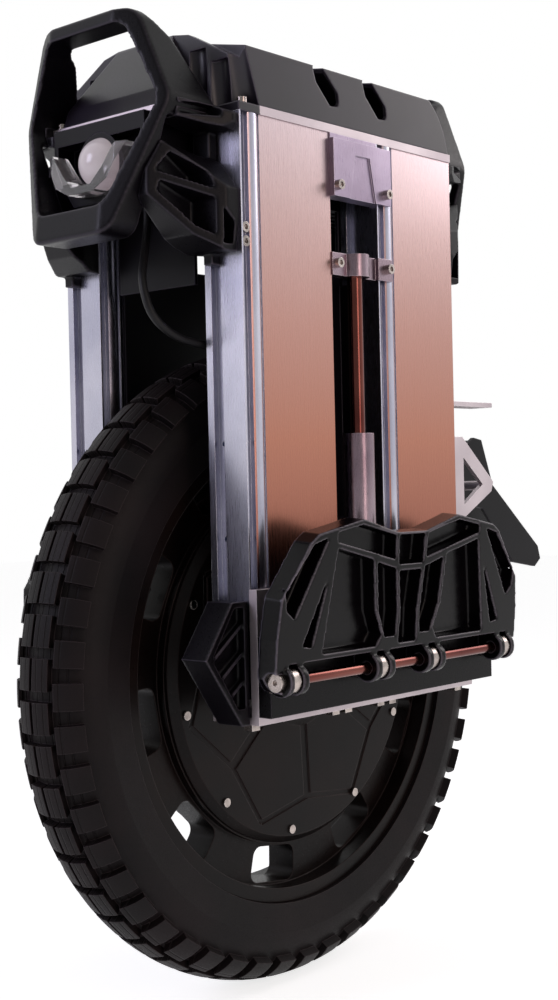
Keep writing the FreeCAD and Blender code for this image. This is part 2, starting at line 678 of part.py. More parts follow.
def battery_case(name):
    x, y = CASES[name]
    solid = Part.Face(case_outline()).extrude(V(0, 0, CASE_TOP - CASE_BOTTOM))
    solid.translate(V(0, 0, CASE_BOTTOM))
    solid = solid.cut(cavity(CASE_BOTTOM, CASE_TOP))
    holes = []
    end = 1 if name.startswith("front") else -1
    for place in HOLE_PLACES:
        z = CASE_BOTTOM + place
        holes.append(rod(HOLE_RADIUS, (end * (CASE_LENGTH / 2 - CASE_WALL_X - 1), end * END_GROOVE_Y, z),
                         (end * CASE_LENGTH / 2, end * END_GROOVE_Y, z)))
        if name in ("front_left", "rear_right"):
            holes.append(rod(HOLE_RADIUS, (end * SIDE_GROOVE_X, end * (CASE_WIDTH / 2 - CASE_WALL_Y - 1), z),
                             (end * SIDE_GROOVE_X, end * CASE_WIDTH / 2, z)))
    solid = solid.cut(holes)
    solid.translate(V(x, y, 0))
    return solid


def case_group(maker):
    shapes = []
    for x, y in CASES.values():
        piece = maker()
        piece.translate(V(x, y, 0))
        shapes.append(piece)
    return group(shapes)


def battery_packs():
    return case_group(lambda: cavity(CASE_BOTTOM, CASE_TOP - PACK_CLEARANCE, PACK_CLEARANCE))


def bottom_caps():
    a, b = CASE_LENGTH / 2 - GROOVE_DEPTH, CASE_WIDTH / 2 - GROOVE_DEPTH
    return case_group(lambda: block(-a, a, -b, b, CASE_BOTTOM - CAP_THICKNESS, CASE_BOTTOM))


def top_plate():
    left_front = CASE_FRONT - CORNER_BLOCK_LENGTH
    half = [(PLATE_TONGUE_X, -PLATE_TONGUE_HALF_WIDTH), (PLATE_TONGUE_X, PLATE_TONGUE_HALF_WIDTH),
            (CASE_FRONT, PLATE_TONGUE_HALF_WIDTH), (left_front, PLATE_TONGUE_HALF_WIDTH),
            (left_front, CASE_OUTER_Y), (-CASE_FRONT, CASE_OUTER_Y), (-CASE_FRONT, PLATE_TONGUE_HALF_WIDTH)]
    half = half[:2] + half[3:]
    points = half + [(-x, -y) for x, y in half]
    return prism(points, "z", CASE_TOP, PLATE_TOP)


def corner_blocks():
    left = block(CASE_FRONT - CORNER_BLOCK_LENGTH, CASE_FRONT, PLATE_TONGUE_HALF_WIDTH, CASE_OUTER_Y,
                 CASE_TOP, PLATE_TOP)
    return group([left, turned(left)])


# Top cover, hood, controller and switch


def roof_section(inset):
    rise = COVER_ROOF - COVER_SIDE_TOP
    run = CASE_OUTER_Y - COVER_ROOF_HALF_WIDTH
    slant = inset * (math.hypot(rise, run) - rise) / run
    side = CASE_OUTER_Y - inset
    return [(-side, PLATE_TOP), (side, PLATE_TOP), (side, COVER_SIDE_TOP - slant),
            (COVER_ROOF_HALF_WIDTH, COVER_ROOF - inset),
            (-COVER_ROOF_HALF_WIDTH, COVER_ROOF - inset), (-side, COVER_SIDE_TOP - slant)]


def roof_side(inset, front_inset):
    """The cover's side view: upright in front, rounded down to the plate at the rear."""
    front = COVER_FRONT_X - front_inset
    rear = COVER_REAR_X + inset
    top = COVER_ROOF - inset
    start = V(front, -120, PLATE_TOP)
    bend = V(rear + COVER_REAR_CURVE, -120, top)
    foot = V(rear, -120, PLATE_TOP)
    drop = (top - PLATE_TOP)
    knee = V(rear + COVER_REAR_CURVE * 0.29, -120, PLATE_TOP + drop * 0.68)
    edges = [Part.makeLine(start, V(front, -120, top)), Part.makeLine(V(front, -120, top), bend),
             Part.Arc(bend, knee, foot).toShape(), Part.makeLine(foot, start)]
    return Part.Face(Part.Wire(edges)).extrude(V(0, 240, 0))


def crest():
    """The cover's front frame: a flat arch that stands a little above the roof."""
    side, shoulder = CASE_OUTER_Y, COVER_ROOF_HALF_WIDTH
    right = [(side, PLATE_TOP), (side, PLATE_TOP + CREST_SIDE_HEIGHT),
             (shoulder, PLATE_TOP + CREST_SHOULDER_HEIGHT),
             (CREST_HALF_WIDTH, CREST_TOP)]
    points = right + [(-y, z) for y, z in reversed(right)]
    return prism(points, "x", COVER_FRONT_X - CREST_THICKNESS, COVER_FRONT_X)


def top_cover():
    back = COVER_FRONT_X - CREST_THICKNESS
    outer = prism(roof_section(0.0), "x", COVER_REAR_X, back).common(roof_side(0.0, 0.0))
    hollow = roof_side(COVER_SHELL, COVER_FRONT_WALL)
    inner = prism(roof_section(COVER_SHELL), "x", COVER_REAR_X, COVER_FRONT_X).common(hollow)
    shell = outer.fuse(crest()).cut(inner)
    low, high = PLATE_TOP + 12, COVER_SIDE_TOP + 1
    leaf = [(15.0, high), (2.0, high - 3), (-16.0, low + 10), (-17.0, low), (-6.0, low - 1),
            (10.0, high - 15)]
    cuts = []
    for centre in (LEAF_FRONT_X, LEAF_FRONT_X - LEAF_PITCH):
        face = Part.Face(outline([(centre + u, v) for u, v in leaf], "y", CASE_OUTER_Y + 5, 4.0))
        hole = face.extrude(V(0, -32, 32 * LEAF_RISE))
        cuts += [hole, across(hole)]
    for y in FLUTE_PLACES:
        share = (y - COVER_ROOF_HALF_WIDTH) / (CASE_OUTER_Y - COVER_ROOF_HALF_WIDTH)
        height = CREST_SHOULDER_HEIGHT - share * (CREST_SHOULDER_HEIGHT - CREST_SIDE_HEIGHT) - FLUTE_LIP
        flute = rod(FLUTE_RADIUS, (COVER_FRONT_X, y, PLATE_TOP - 1),
                    (COVER_FRONT_X + 4, y, PLATE_TOP + height))
        cuts += [flute, across(flute)]
    foot = V(*corner_screw_place())
    well = Part.makeCylinder(WELL_RADIUS, 80, foot + V(-2, 2, -6), V(16.5, 5, 46))
    cuts += [well, across(well)]
    cuts.append(rod(BUTTON_RADIUS + RUNNING_GAP, (BUTTON_X, 0, COVER_ROOF - 2 * COVER_SHELL),
                    (BUTTON_X, 0, COVER_ROOF + 1)))
    return shell.cut(cuts)


def corner_screw_place():
    return CASE_FRONT - 9, CASE_OUTER_Y - 5.4, PLATE_TOP


def front_hood():
    """A faceted wedge from the cover's roof down to the front edge of the top plate."""
    def wedge(inset):
        back, front, top = COVER_FRONT_X, PLATE_TONGUE_X - 1 - inset, CREST_TOP - 1.4 * inset
        lip = PLATE_TOP + HOOD_LIP
        side = [(back, PLATE_TOP), (front, PLATE_TOP), (front - 6, lip), (back, top)]
        low, high = PLATE_TONGUE_HALF_WIDTH - 2 - inset, CREST_HALF_WIDTH - inset
        front_view = [(-low, PLATE_TOP), (low, PLATE_TOP), (high, top), (-high, top)]
        nose = HOOD_NOSE_HALF_WIDTH - inset
        plan = [(back, -low), (front, -nose), (front, nose), (back, low)]
        body = prism(side, "y", -100, 100).common(prism(front_view, "x", back - 1, front + 1))
        return body.common(prism(plan, "z", PLATE_TOP - 1, top + 1))
    return wedge(0.0).cut([wedge(COVER_SHELL), loop_body()])


def controller_box():
    half = CONTROLLER_HALF_WIDTH
    wall = CONTROLLER_WALL
    box = block(CONTROLLER_REAR_X, CONTROLLER_FRONT_X, -half, half, CONTROLLER_BOTTOM, CASE_TOP)
    floor = CONTROLLER_BOTTOM + FIN_DEPTH + wall
    box = box.cut(block(CONTROLLER_REAR_X + wall, CONTROLLER_FRONT_X - wall, -half + wall, half - wall, floor,
                        CASE_TOP))
    pitch = 2 * half / (FIN_COUNT + 1)
    cuts = []
    for i in range(FIN_COUNT):
        y = -half + (i + 1) * pitch
        cuts.append(block(CONTROLLER_REAR_X, CONTROLLER_FRONT_X, y - FIN_GROOVE / 2, y + FIN_GROOVE / 2,
                          CONTROLLER_BOTTOM, CONTROLLER_BOTTOM + FIN_DEPTH))
    return box.cut(cuts)


def controller_board():
    gap = CONTROLLER_WALL + 2
    half = CONTROLLER_HALF_WIDTH - gap
    floor = CONTROLLER_BOTTOM + FIN_DEPTH + CONTROLLER_WALL
    return block(CONTROLLER_REAR_X + gap, CONTROLLER_FRONT_X - gap, -half, half, floor, floor + 12)


def power_switch():
    """A cup under the roof that holds the button."""
    top = COVER_ROOF - COVER_SHELL
    cup = rod(BUTTON_RADIUS + 5, (BUTTON_X, 0, top - 16), (BUTTON_X, 0, top))
    return cup.cut(rod(BUTTON_RADIUS + 2, (BUTTON_X, 0, top - 12), (BUTTON_X, 0, top)))


def power_button():
    top = COVER_ROOF - COVER_SHELL
    stem = rod(BUTTON_RADIUS, (BUTTON_X, 0, top - 3), (BUTTON_X, 0, COVER_ROOF + BUTTON_STAND))
    flange = rod(BUTTON_RADIUS + 1.5, (BUTTON_X, 0, top - 3), (BUTTON_X, 0, top - RUNNING_GAP))
    return fused([stem, flange])


# Loops, their brackets and the lights


def loop_outline(inset_top, inset_side, inset_bottom):
    top, bottom = LOOP_TOP - inset_top, LOOP_BOTTOM + inset_bottom
    return [(-LOOP_TOP_HALF_WIDTH + inset_side, top), (LOOP_TOP_HALF_WIDTH - inset_side, top),
            (LOOP_WAIST_HALF_WIDTH - inset_side, LOOP_WAIST),
            (LOOP_BOTTOM_HALF_WIDTH - inset_side * 0.7, bottom),
            (-LOOP_BOTTOM_HALF_WIDTH + inset_side * 0.7, bottom),
            (-LOOP_WAIST_HALF_WIDTH + inset_side, LOOP_WAIST)]


def loop_envelope(shift):
    """All that lies behind the loop's leaning, swept-back front."""
    low, high, reach = LOOP_BOTTOM - 60, LOOP_TOP + 60, 110.0
    middle = LOOP_FRONT_X + shift + LOOP_LEAN * (LOOP_WAIST - low)
    side = middle - LOOP_SWEEP * (reach - LOOP_SWEEP_FROM)
    points = [(0.0, -reach), (0.0, reach), (side, reach), (middle, LOOP_SWEEP_FROM),
              (middle, -LOOP_SWEEP_FROM), (side, -reach)]
    face = Part.Face(outline([(x, y) for x, y in points], "z", low))
    return face.extrude(V(-LOOP_LEAN * (high - low), 0, high - low))


def loop_body():
    outer = prism(loop_outline(0, 0, 0), "x", CASE_FRONT, LOOP_LIMIT_X, LOOP_CORNER)
    inner = prism(loop_outline(LOOP_TOP_BAR, LOOP_SIDE_BAR, LOOP_BOTTOM_BAR), "x", CASE_FRONT, LOOP_LIMIT_X,
                  LOOP_INNER_CORNER)
    wall = outer.cut(inner).common(loop_envelope(0))
    rear, low, high = CASE_FRONT + LOOP_REAR, LOOP_BOTTOM - 1, LOOP_TOP + 1
    bars = prism([(rear, high), (LOOP_LIMIT_X, high), (LOOP_LIMIT_X, low), (rear + LOOP_REAR_LEAN, low)],
                 "y", -100, 100)
    foot = LOOP_WAIST - 12
    cheek = prism([(CASE_FRONT + 2, foot), (CASE_FRONT + 5, LOOP_WAIST + 2),
                   (CASE_FRONT + 15, LOOP_WAIST + 21),
                   (CASE_FRONT + 27, LOOP_WAIST + 47), (CASE_FRONT + 40, LOOP_WAIST + 58),
                   (CASE_FRONT + 51, high),
                   (LOOP_LIMIT_X, high), (LOOP_LIMIT_X, foot)], "y", -100, 100)
    return wall.common(bars).fuse(wall.common(cheek)).removeSplitter()


def front_arm():
    """The bracket's upper arm, which flares from the loop out to the corner of the left case."""
    reach = CASE_FRONT + LOOP_REACH - 27
    plan = [(CASE_FRONT, ARM_INNER_Y), (CASE_FRONT, ARM_OUTER_Y), (CASE_FRONT + ARM_PAD, ARM_OUTER_Y),
            (reach, LOOP_WAIST_HALF_WIDTH - 1), (reach, ARM_INNER_Y)]
    side = [(CASE_FRONT, CASE_TOP - 14), (CASE_FRONT, CASE_TOP + 6), (CASE_FRONT + 22, CASE_TOP + 9),
            (reach, CASE_TOP + 13), (reach, CASE_TOP - 8), (CASE_FRONT + 22, CASE_TOP - 12)]
    front = [(ARM_INNER_Y, CASE_TOP - 19), (ARM_OUTER_Y - 20, CASE_TOP - 18),
             (ARM_OUTER_Y - 6, CASE_TOP - 15),
             (ARM_OUTER_Y, CASE_TOP - 9), (ARM_OUTER_Y, CASE_TOP - 2), (ARM_OUTER_Y - 20, CASE_TOP + 6),
             (ARM_OUTER_Y - 25, CASE_TOP + 13), (ARM_INNER_Y, CASE_TOP + 13)]
    arm = prism(plan, "z", CASE_TOP - 40, CASE_TOP + 40).common(prism(side, "y", 0, 120))
    arm = arm.common(prism(front, "x", CASE_FRONT, LOOP_LIMIT_X))
    tongue_side = PLATE_TONGUE_HALF_WIDTH + RUNNING_GAP
    room = block(CASE_FRONT, LOOP_LIMIT_X, 0, tongue_side, CASE_TOP - RUNNING_GAP, CASE_TOP + 40)
    slot = block(CASE_FRONT + 12, CASE_FRONT + 44, ARM_OUTER_Y - 18, ARM_OUTER_Y, CASE_TOP - 6, CASE_TOP + 2)
    return arm.cut([room, slot])


def truss():
    """The bracket's lower arm, a pocketed wedge from the loop's side to a foot on the left case."""
    front = CASE_FRONT + LOOP_REACH - 11
    low = TRUSS_FOOT
    plan = [(CASE_FRONT, ARM_INNER_Y), (CASE_FRONT, ARM_OUTER_Y), (CASE_FRONT + 12, ARM_OUTER_Y - 1),
            (front, TRUSS_INNER_Y + 12),
            (front, TRUSS_INNER_Y), (CASE_FRONT + 22, TRUSS_INNER_Y)]
    side = [(CASE_FRONT, low), (CASE_FRONT + 13, low), (CASE_FRONT + 32, low + 10), (front, low + 37),
            (front + 3, low + 48), (front - 9, low + 75), (CASE_FRONT + 22, low + 67), (CASE_FRONT, low + 65)]
    face = [(TRUSS_INNER_Y, low - 3), (ARM_OUTER_Y - 4, low - 3), (ARM_OUTER_Y, low + 25),
            (ARM_OUTER_Y, low + 43),
            (ARM_OUTER_Y - 18, low + 65), (ARM_OUTER_Y - 30, low + 78), (TRUSS_INNER_Y, low + 78)]
    body = prism(plan, "z", low - 10, low + 90).common(prism(side, "y", 0, 120))
    body = body.common(prism(face, "x", CASE_FRONT, LOOP_LIMIT_X))
    upper = [(front - 14, low + 67), (CASE_FRONT + 22, low + 54), (CASE_FRONT + 18, low + 42),
             (front - 5, low + 54)]
    lower = [(front - 8, low + 47), (CASE_FRONT + 18, low + 36), (CASE_FRONT + 18, low + 10),
             (CASE_FRONT + 30, low + 16),
             (front - 6, low + 40)]
    toe = [(CASE_FRONT + FLANGE_THICKNESS, low + 5), (CASE_FRONT + 14, low + 5), (CASE_FRONT + 14, low + 30),
           (CASE_FRONT + FLANGE_THICKNESS, low + 20)]
    return body.cut([prism(p, "y", TRUSS_POCKET_FLOOR, ARM_OUTER_Y + 1) for p in (upper, lower, toe)])


def bracket(groove_middle):
    """The left bracket of the loop: arm, spine and truss in one casting, with a tongue in the case's groove."""
    spine = block(CASE_FRONT, CASE_FRONT + SPINE_DEPTH, ARM_INNER_Y, ARM_INNER_Y + SPINE_WIDTH,
                  TRUSS_FOOT + 40,
                  CASE_TOP - 5)
    half = END_GROOVE_WIDTH / 2 - RUNNING_GAP
    tongue = block(CASE_FRONT - GROOVE_DEPTH + RUNNING_GAP, CASE_FRONT + SPINE_DEPTH, groove_middle - half,
                   groove_middle + half, TRUSS_FOOT - TONGUE_DROP, TRUSS_FOOT + 20)
    return front_arm().fuse([spine, truss(), tongue]).removeSplitter().cut(loop_body())


def left_groove():
    return CASE_OFFSET_Y + END_GROOVE_Y


def right_groove():
    return CASE_OFFSET_Y - END_GROOVE_Y


def lamp_housing():
    half = LAMP_HALF_WIDTH
    shape = prism([(-half, CASE_TOP), (half, CASE_TOP), (half, LAMP_Z), (half - 20, LAMP_BOTTOM),
                   (-half + 20, LAMP_BOTTOM), (-half, LAMP_Z)], "x", CASE_FRONT, LAMP_FRONT_X)
    recess = block(LAMP_FRONT_X - 16, LAMP_FRONT_X, -half + LAMP_WALL, half - LAMP_WALL, LAMP_Z - 14,
                   LAMP_Z + 18)
    return shape.cut([recess, rod(PROJECTOR_RADIUS, (CASE_FRONT + 6, 0, LAMP_Z),
                                  (LAMP_FRONT_X + 1, 0, LAMP_Z))])


def projector():
    barrel = rod(PROJECTOR_RADIUS, (CASE_FRONT + 6, 0, LAMP_Z), (LAMP_FRONT_X - LENS_SEAT + 5, 0, LAMP_Z))
    return barrel.cut(rod(LENS_RADIUS, (LAMP_FRONT_X - LENS_SEAT, 0, LAMP_Z), (LAMP_FRONT_X, 0, LAMP_Z)))


def projector_lens():
    """A plano-convex lens, domed to the front."""
    back = LAMP_FRONT_X - LENS_SEAT
    crown = back + 5 + LENS_CROWN
    dome = (LENS_RADIUS ** 2 + LENS_CROWN ** 2) / (2 * LENS_CROWN)
    blank = rod(LENS_RADIUS, (back, 0, LAMP_Z), (crown + 1, 0, LAMP_Z))
    return blank.common(Part.makeSphere(dome, V(crown - dome, 0, LAMP_Z)))


def bezel_outline():
    low, high = LAMP_Z - 24, LAMP_Z + 8
    outer = [(-41.0, high), (-27.0, low + 7), (-13.0, low), (13.0, low), (27.0, low + 7), (41.0, high)]
    inner = [(33.0, high), (21.0, low + 16), (10.0, low + 5.5), (-10.0, low + 5.5), (-21.0, low + 16),
             (-33.0, high)]
    return outer + inner


def lamp_bezel():
    bar = prism(bezel_outline(), "x", LAMP_FRONT_X, LAMP_FRONT_X + BEZEL_DEPTH + 10)
    return bar.common(loop_envelope(-10.0))


def tail_housing():
    half = LAMP_HALF_WIDTH - 8
    return behind(prism([(-half, CASE_TOP), (half, CASE_TOP), (half, LAMP_Z), (half - 16, LAMP_BOTTOM),
                         (-half + 16, LAMP_BOTTOM), (-half, LAMP_Z)], "x", CASE_FRONT, LAMP_FRONT_X - 14))


def tail_lens():
    half = LAMP_HALF_WIDTH - 14
    start = LAMP_FRONT_X - 14
    lens = prism([(-half, LAMP_Z + 18), (half, LAMP_Z + 18), (half, LAMP_Z), (half - 14, LAMP_Z - 18),
                  (-half + 14, LAMP_Z - 18), (-half, LAMP_Z)], "x", start, start + TAIL_LENS_DEPTH, 4.0)
    return behind(lens)


def routed(points, radius):
    """A round cable along straight runs joined by tangent arcs, each as large as its runs allow."""
    places = [V(*p) for p in points]
    edges = []
    start = places[0]
    for i in range(1, len(places) - 1):
        back = places[i - 1] - places[i]
        ahead = places[i + 1] - places[i]
        half = back.getAngle(ahead) / 2
        reach = 0.45 * min(back.Length, ahead.Length)
        back.normalize()
        ahead.normalize()
        bend = reach * math.tan(half)
        middle = places[i] + (back + ahead).normalize() * (reach / math.cos(half) - bend)
        first, last = places[i] + back * reach, places[i] + ahead * reach
        print("cable bend radius %.1f" % bend)
        edges += [Part.makeLine(start, first), Part.Arc(first, middle, last).toShape()]
        start = last
    edges.append(Part.makeLine(start, places[-1]))
    path = Part.Wire(edges)
    disc = Part.Wire(Part.makeCircle(radius, places[0], places[1] - places[0]))
    tube = path.makePipeShell([disc], True, False)
    print("cable volume %.0f, section by length %.0f" % (tube.Volume, math.pi * radius ** 2 * path.Length))
    return tube


def lamp_cable():
    """Points from the lamp's floor to the liner: forward of the cases, across, and below the top of the cases."""
    floor = LAMP_DROP + LAMP_HEIGHT_BELOW
    route = [(24, 24, floor), (24, 24, floor + 16), (33, 30, floor + 38), (44, 37, floor + 60),
             (42, 44, floor + 85),
             (22, 47, floor + 99), (-2, 50, floor + 103.5), (0.3 - CONTROLLER_REAR_STEP, CASE_INNER_Y - 2.5,
                                                             floor + 103)]
    return routed([(CASE_FRONT + u, y, CASE_TOP - drop) for u, y, drop in route], CABLE_RADIUS)


def splash_panel():
    x = CONTROLLER_FRONT_X
    front = block(x, x + SPLASH_THICKNESS, -SPLASH_HALF_WIDTH, SPLASH_HALF_WIDTH, CASE_TOP - SPLASH_HEIGHT,
                  CASE_TOP)
    return group([front, behind(front)])


def liners():
    """A thin wall inside the left cases, with flanges that line the slot for the shock."""
    reach = -CONTROLLER_REAR_X
    wall = block(-reach, reach, CASE_INNER_Y - LINER_THICKNESS, CASE_INNER_Y, CASE_BOTTOM + 6, BRACKET_BOTTOM)
    way = CASE_SLOT - SLOT_CLEARANCE + 2
    floor = AXLE_BLOCK_TOP + TRAVEL + 4
    wall = wall.cut([block(-way, way, 0, CASE_OUTER_Y, CASE_BOTTOM, floor),
                     block(-way, way, 0, CASE_OUTER_Y, COLLAR_TOP, CASE_TOP)])
    edge = SHOCK_Y - TUBE_RADIUS - 2
    near = block(CASE_SLOT - LINER_FLANGE, CASE_SLOT, CASE_INNER_Y, edge, floor, COLLAR_BOTTOM)
    return pair(wall.fuse([near, behind(near)]).removeSplitter())


# Suspension


def slot_bracket():
    """The left bracket: a plug in the slot, an ear on the rear case and a trapezoid relief."""
    plug = block(-CASE_SLOT, CASE_SLOT, SHOCK_Y - 8, CASE_OUTER_Y, BRACKET_BOTTOM, CASE_TOP)
    face = block(-CASE_SLOT - EAR_LENGTH, CASE_SLOT, CASE_OUTER_Y, CASE_OUTER_Y + EAR_THICKNESS,
                 BRACKET_BOTTOM, CASE_TOP - 4)
    middle = -EAR_LENGTH / 2
    relief = prism([(middle - 16, BRACKET_BOTTOM - 1), (middle + 16, BRACKET_BOTTOM - 1),
                    (middle + 9, CASE_TOP - 14), (middle - 9, CASE_TOP - 14)],
                   "y", CASE_OUTER_Y + EAR_THICKNESS - 1.5, CASE_OUTER_Y + EAR_THICKNESS + 1)
    return plug.fuse(face).removeSplitter().cut(relief)


def shock_collar():
    """The left collar: a bar across the slot with a round clamp for the rod and an ear on the rear case."""
    bar = block(-CASE_SLOT, CASE_SLOT, SHOCK_Y - 8, CASE_OUTER_Y, COLLAR_BOTTOM, COLLAR_TOP)
    ear = block(-CASE_SLOT - EAR_LENGTH, -CASE_SLOT + 4, CASE_OUTER_Y, CASE_OUTER_Y + EAR_THICKNESS,
                COLLAR_BOTTOM, COLLAR_TOP)
    clamp = rod(COLLAR_RADIUS, (0, SHOCK_Y, COLLAR_BOTTOM), (0, SHOCK_Y, COLLAR_TOP))
    body = bar.fuse([ear, clamp]).removeSplitter()
    return body.cut(rod(ROD_RADIUS, (0, SHOCK_Y, COLLAR_BOTTOM), (0, SHOCK_Y, COLLAR_TOP)))


def shock_rod():
    piston_top = TUBE_TOP - GLAND_LENGTH - 3
    shaft = rod(ROD_RADIUS, (0, SHOCK_Y, piston_top), (0, SHOCK_Y, COLLAR_TOP))
    piston = rod(TUBE_BORE - SLIDE_FIT, (0, SHOCK_Y, piston_top - PISTON_LENGTH), (0, SHOCK_Y, piston_top))
    return shaft.fuse(piston)


def shock_tube():
    tube = rod(TUBE_RADIUS, (0, SHOCK_Y, AXLE_BLOCK_TOP), (0, SHOCK_Y, TUBE_TOP))
    tube = tube.cut(rod(TUBE_BORE, (0, SHOCK_Y, AXLE_BLOCK_TOP + 6), (0, SHOCK_Y, TUBE_TOP - GLAND_LENGTH)))
    return tube.cut(rod(ROD_RADIUS + SLIDE_FIT, (0, SHOCK_Y, TUBE_TOP - GLAND_LENGTH),
                        (0, SHOCK_Y, TUBE_TOP)))


# Hanger


def hanger():
    reach = HANGER_HALF_LENGTH
    wall = block(-reach, reach, HANGER_INNER_Y, HANGER_OUTER_Y, HANGER_BOTTOM, HANGER_TOP)
    floor = block(-reach, reach, HANGER_FLOOR_INNER_Y, HANGER_INNER_Y, HANGER_BOTTOM, HANGER_FLOOR_TOP)
    notch = TUBE_RADIUS + 1.5
    body = wall.fuse(floor).removeSplitter()
    return body.cut(block(-notch, notch, HANGER_INNER_Y, HANGER_OUTER_Y, AXLE_BLOCK_TOP, HANGER_TOP))


def axle_blocks():
    half = CASE_SLOT - SLOT_CLEARANCE
    left = block(-half, half, AXLE_BLOCK_INNER_Y, HANGER_INNER_Y, HANGER_FLOOR_TOP, AXLE_BLOCK_TOP)
    left = left.cut(rod(AXLE_RADIUS, (0, AXLE_BLOCK_INNER_Y, AXLE_HEIGHT), (0, HANGER_INNER_Y, AXLE_HEIGHT)))
    return group([left, across(left)])


def slide_blocks():
    """Runners on the hanger that slide in the side grooves of the cases."""
    half = SIDE_GROOVE_WIDTH / 2 - RUNNING_GAP
    root = CASE_OUTER_Y - GROOVE_DEPTH + RUNNING_GAP
    runners = []
    for x in (CASE_OFFSET_X + SIDE_GROOVE_X, -CASE_OFFSET_X + SIDE_GROOVE_X):
        runners.append(block(x - half, x + half, root, HANGER_INNER_Y, AXLE_HEIGHT - SLIDE_BLOCK_DROP,
                             AXLE_HEIGHT + SLIDE_BLOCK_RISE))
    return group(runners + [turned(r) for r in runners])


def guard():
    """The left bumper guard: a chevron block with a ribbed recess on its outer side."""
    back = HANGER_HALF_LENGTH
    nose = back + GUARD_NOSE
    waist = GUARD_TOP - 38
    side = [(back, HANGER_BOTTOM), (back + 8, HANGER_BOTTOM), (nose, waist), (back + 16, GUARD_TOP),
            (back, GUARD_TOP)]
    body = prism(side, "y", GUARD_INNER_Y, GUARD_OUTER_Y)
    wall = GUARD_WALL
    pocket = [(back + wall, HANGER_BOTTOM + 12), (back + 11, HANGER_BOTTOM + 12), (nose - 1.7 * wall, waist),
              (back + 13, GUARD_TOP - wall), (back + wall, GUARD_TOP - wall)]
    recess = prism(pocket, "y", GUARD_OUTER_Y - GUARD_RECESS, GUARD_OUTER_Y + 1)
    ribs = []
    for i in range(GUARD_RIB_COUNT):
        z = HANGER_BOTTOM + 14 + i * 20
        ribs.append(prism([(back, z + 18), (back, z + 18 + GUARD_RIB),
                           (back + GUARD_NOSE, z - 14 + GUARD_RIB), (back + GUARD_NOSE, z - 14)],
                          "y", GUARD_OUTER_Y - GUARD_RECESS, GUARD_OUTER_Y - 1.5).common(recess))
    return body.cut(recess).fuse(ribs).removeSplitter()


def pedal_base():
    front, rear = HANGER_HALF_LENGTH, -HANGER_HALF_LENGTH - BASE_REAR_REACH
    return block(rear, front, HANGER_OUTER_Y, BASE_OUTER_Y, BASE_BOTTOM, BASE_TOP)


def lug_centres():
    return [s * x for x in (LUG_NEAR, LUG_FAR) for s in (1, -1)]


def set_back(shape):
    """The hinge and its pedal sit a little behind the axle."""
    shape.translate(V(PEDAL_SHIFT, 0, 0))
    return shape


def hinge_lugs():
    lugs = []
    for x in lug_centres():
        start, end = x - LUG_WIDTH / 2, x + LUG_WIDTH / 2
        eye = rod(LUG_RADIUS, (start, HINGE_Y, HINGE_Z), (end, HINGE_Y, HINGE_Z))
        arm = block(start, end, BASE_OUTER_Y, HINGE_Y, HINGE_Z - LUG_RADIUS, HINGE_Z + LUG_RADIUS)
        bore = rod(HINGE_RADIUS, (start, HINGE_Y, HINGE_Z), (end, HINGE_Y, HINGE_Z))
        lugs.append(eye.fuse(arm).removeSplitter().cut(bore))
    return set_back(group(lugs + [across(lug) for lug in lugs]))


def hinge_rods():
    left = rod(HINGE_RADIUS, (-HINGE_HALF_LENGTH, HINGE_Y, HINGE_Z), (HINGE_HALF_LENGTH, HINGE_Y, HINGE_Z))
    return set_back(pair(left))


def hinge_screws():
    heads = []
    for side in (1, -1):
        start = side * HINGE_HALF_LENGTH
        end = start + side * PAN_HEAD_HEIGHT
        head = rod(PAN_HEAD_RADIUS, (start, HINGE_Y, HINGE_Z), (end, HINGE_Y, HINGE_Z))
        socket = rod(SOCKET_RADIUS, (end - side * SOCKET_DEPTH, HINGE_Y, HINGE_Z), (end, HINGE_Y, HINGE_Z))
        heads.append(head.cut(socket))
    return set_back(group(heads + [across(h) for h in heads]))


# Pedals, drawn upright beside the hinge and then leaned out


def pedal_outline():
    half, top = PEDAL_HALF_LENGTH, PEDAL_HEIGHT
    right = [(18.0, top - 11), (59.0, top), (108.0, top - 9), (half - 31, top - 15), (half - 3, top * 0.52),
             (half, top * 0.27),
             (half, 2.0), (half - 7, -KNUCKLE_RADIUS + 3)]
    return right + [(-x, h) for x, h in reversed(right)]


def pedal_pockets():
    """Pockets of the ribbed underside, on the front half; the rear half mirrors them."""
    top, half = PEDAL_HEIGHT, PEDAL_HALF_LENGTH
    lip = 16.0
    return [
        [(20.0, top - 13), (60.0, top - 4), (88.0, top - 9), (88.0, top - 15), (19.0, top - 31)],
        [(18.0, top - 38), (41.0, top - 32), (37.0, top * 0.39), (28.0, lip + 6), (15.0, lip + 6),
         (14.0, top * 0.36)],
        [(45.5, top - 30), (87.0, top - 20), (99.0, lip), (38.0, lip), (32.0, lip + 8), (41.0, top * 0.39)],
        [(95.0, top - 36), (121.0, lip + 7), (111.0, lip + 6)],
        [(98.0, top - 12), (half - 35, top - 16), (half - 7, top * 0.56), (half - 9, top * 0.45),
         (half - 17, top * 0.39)],
    ]


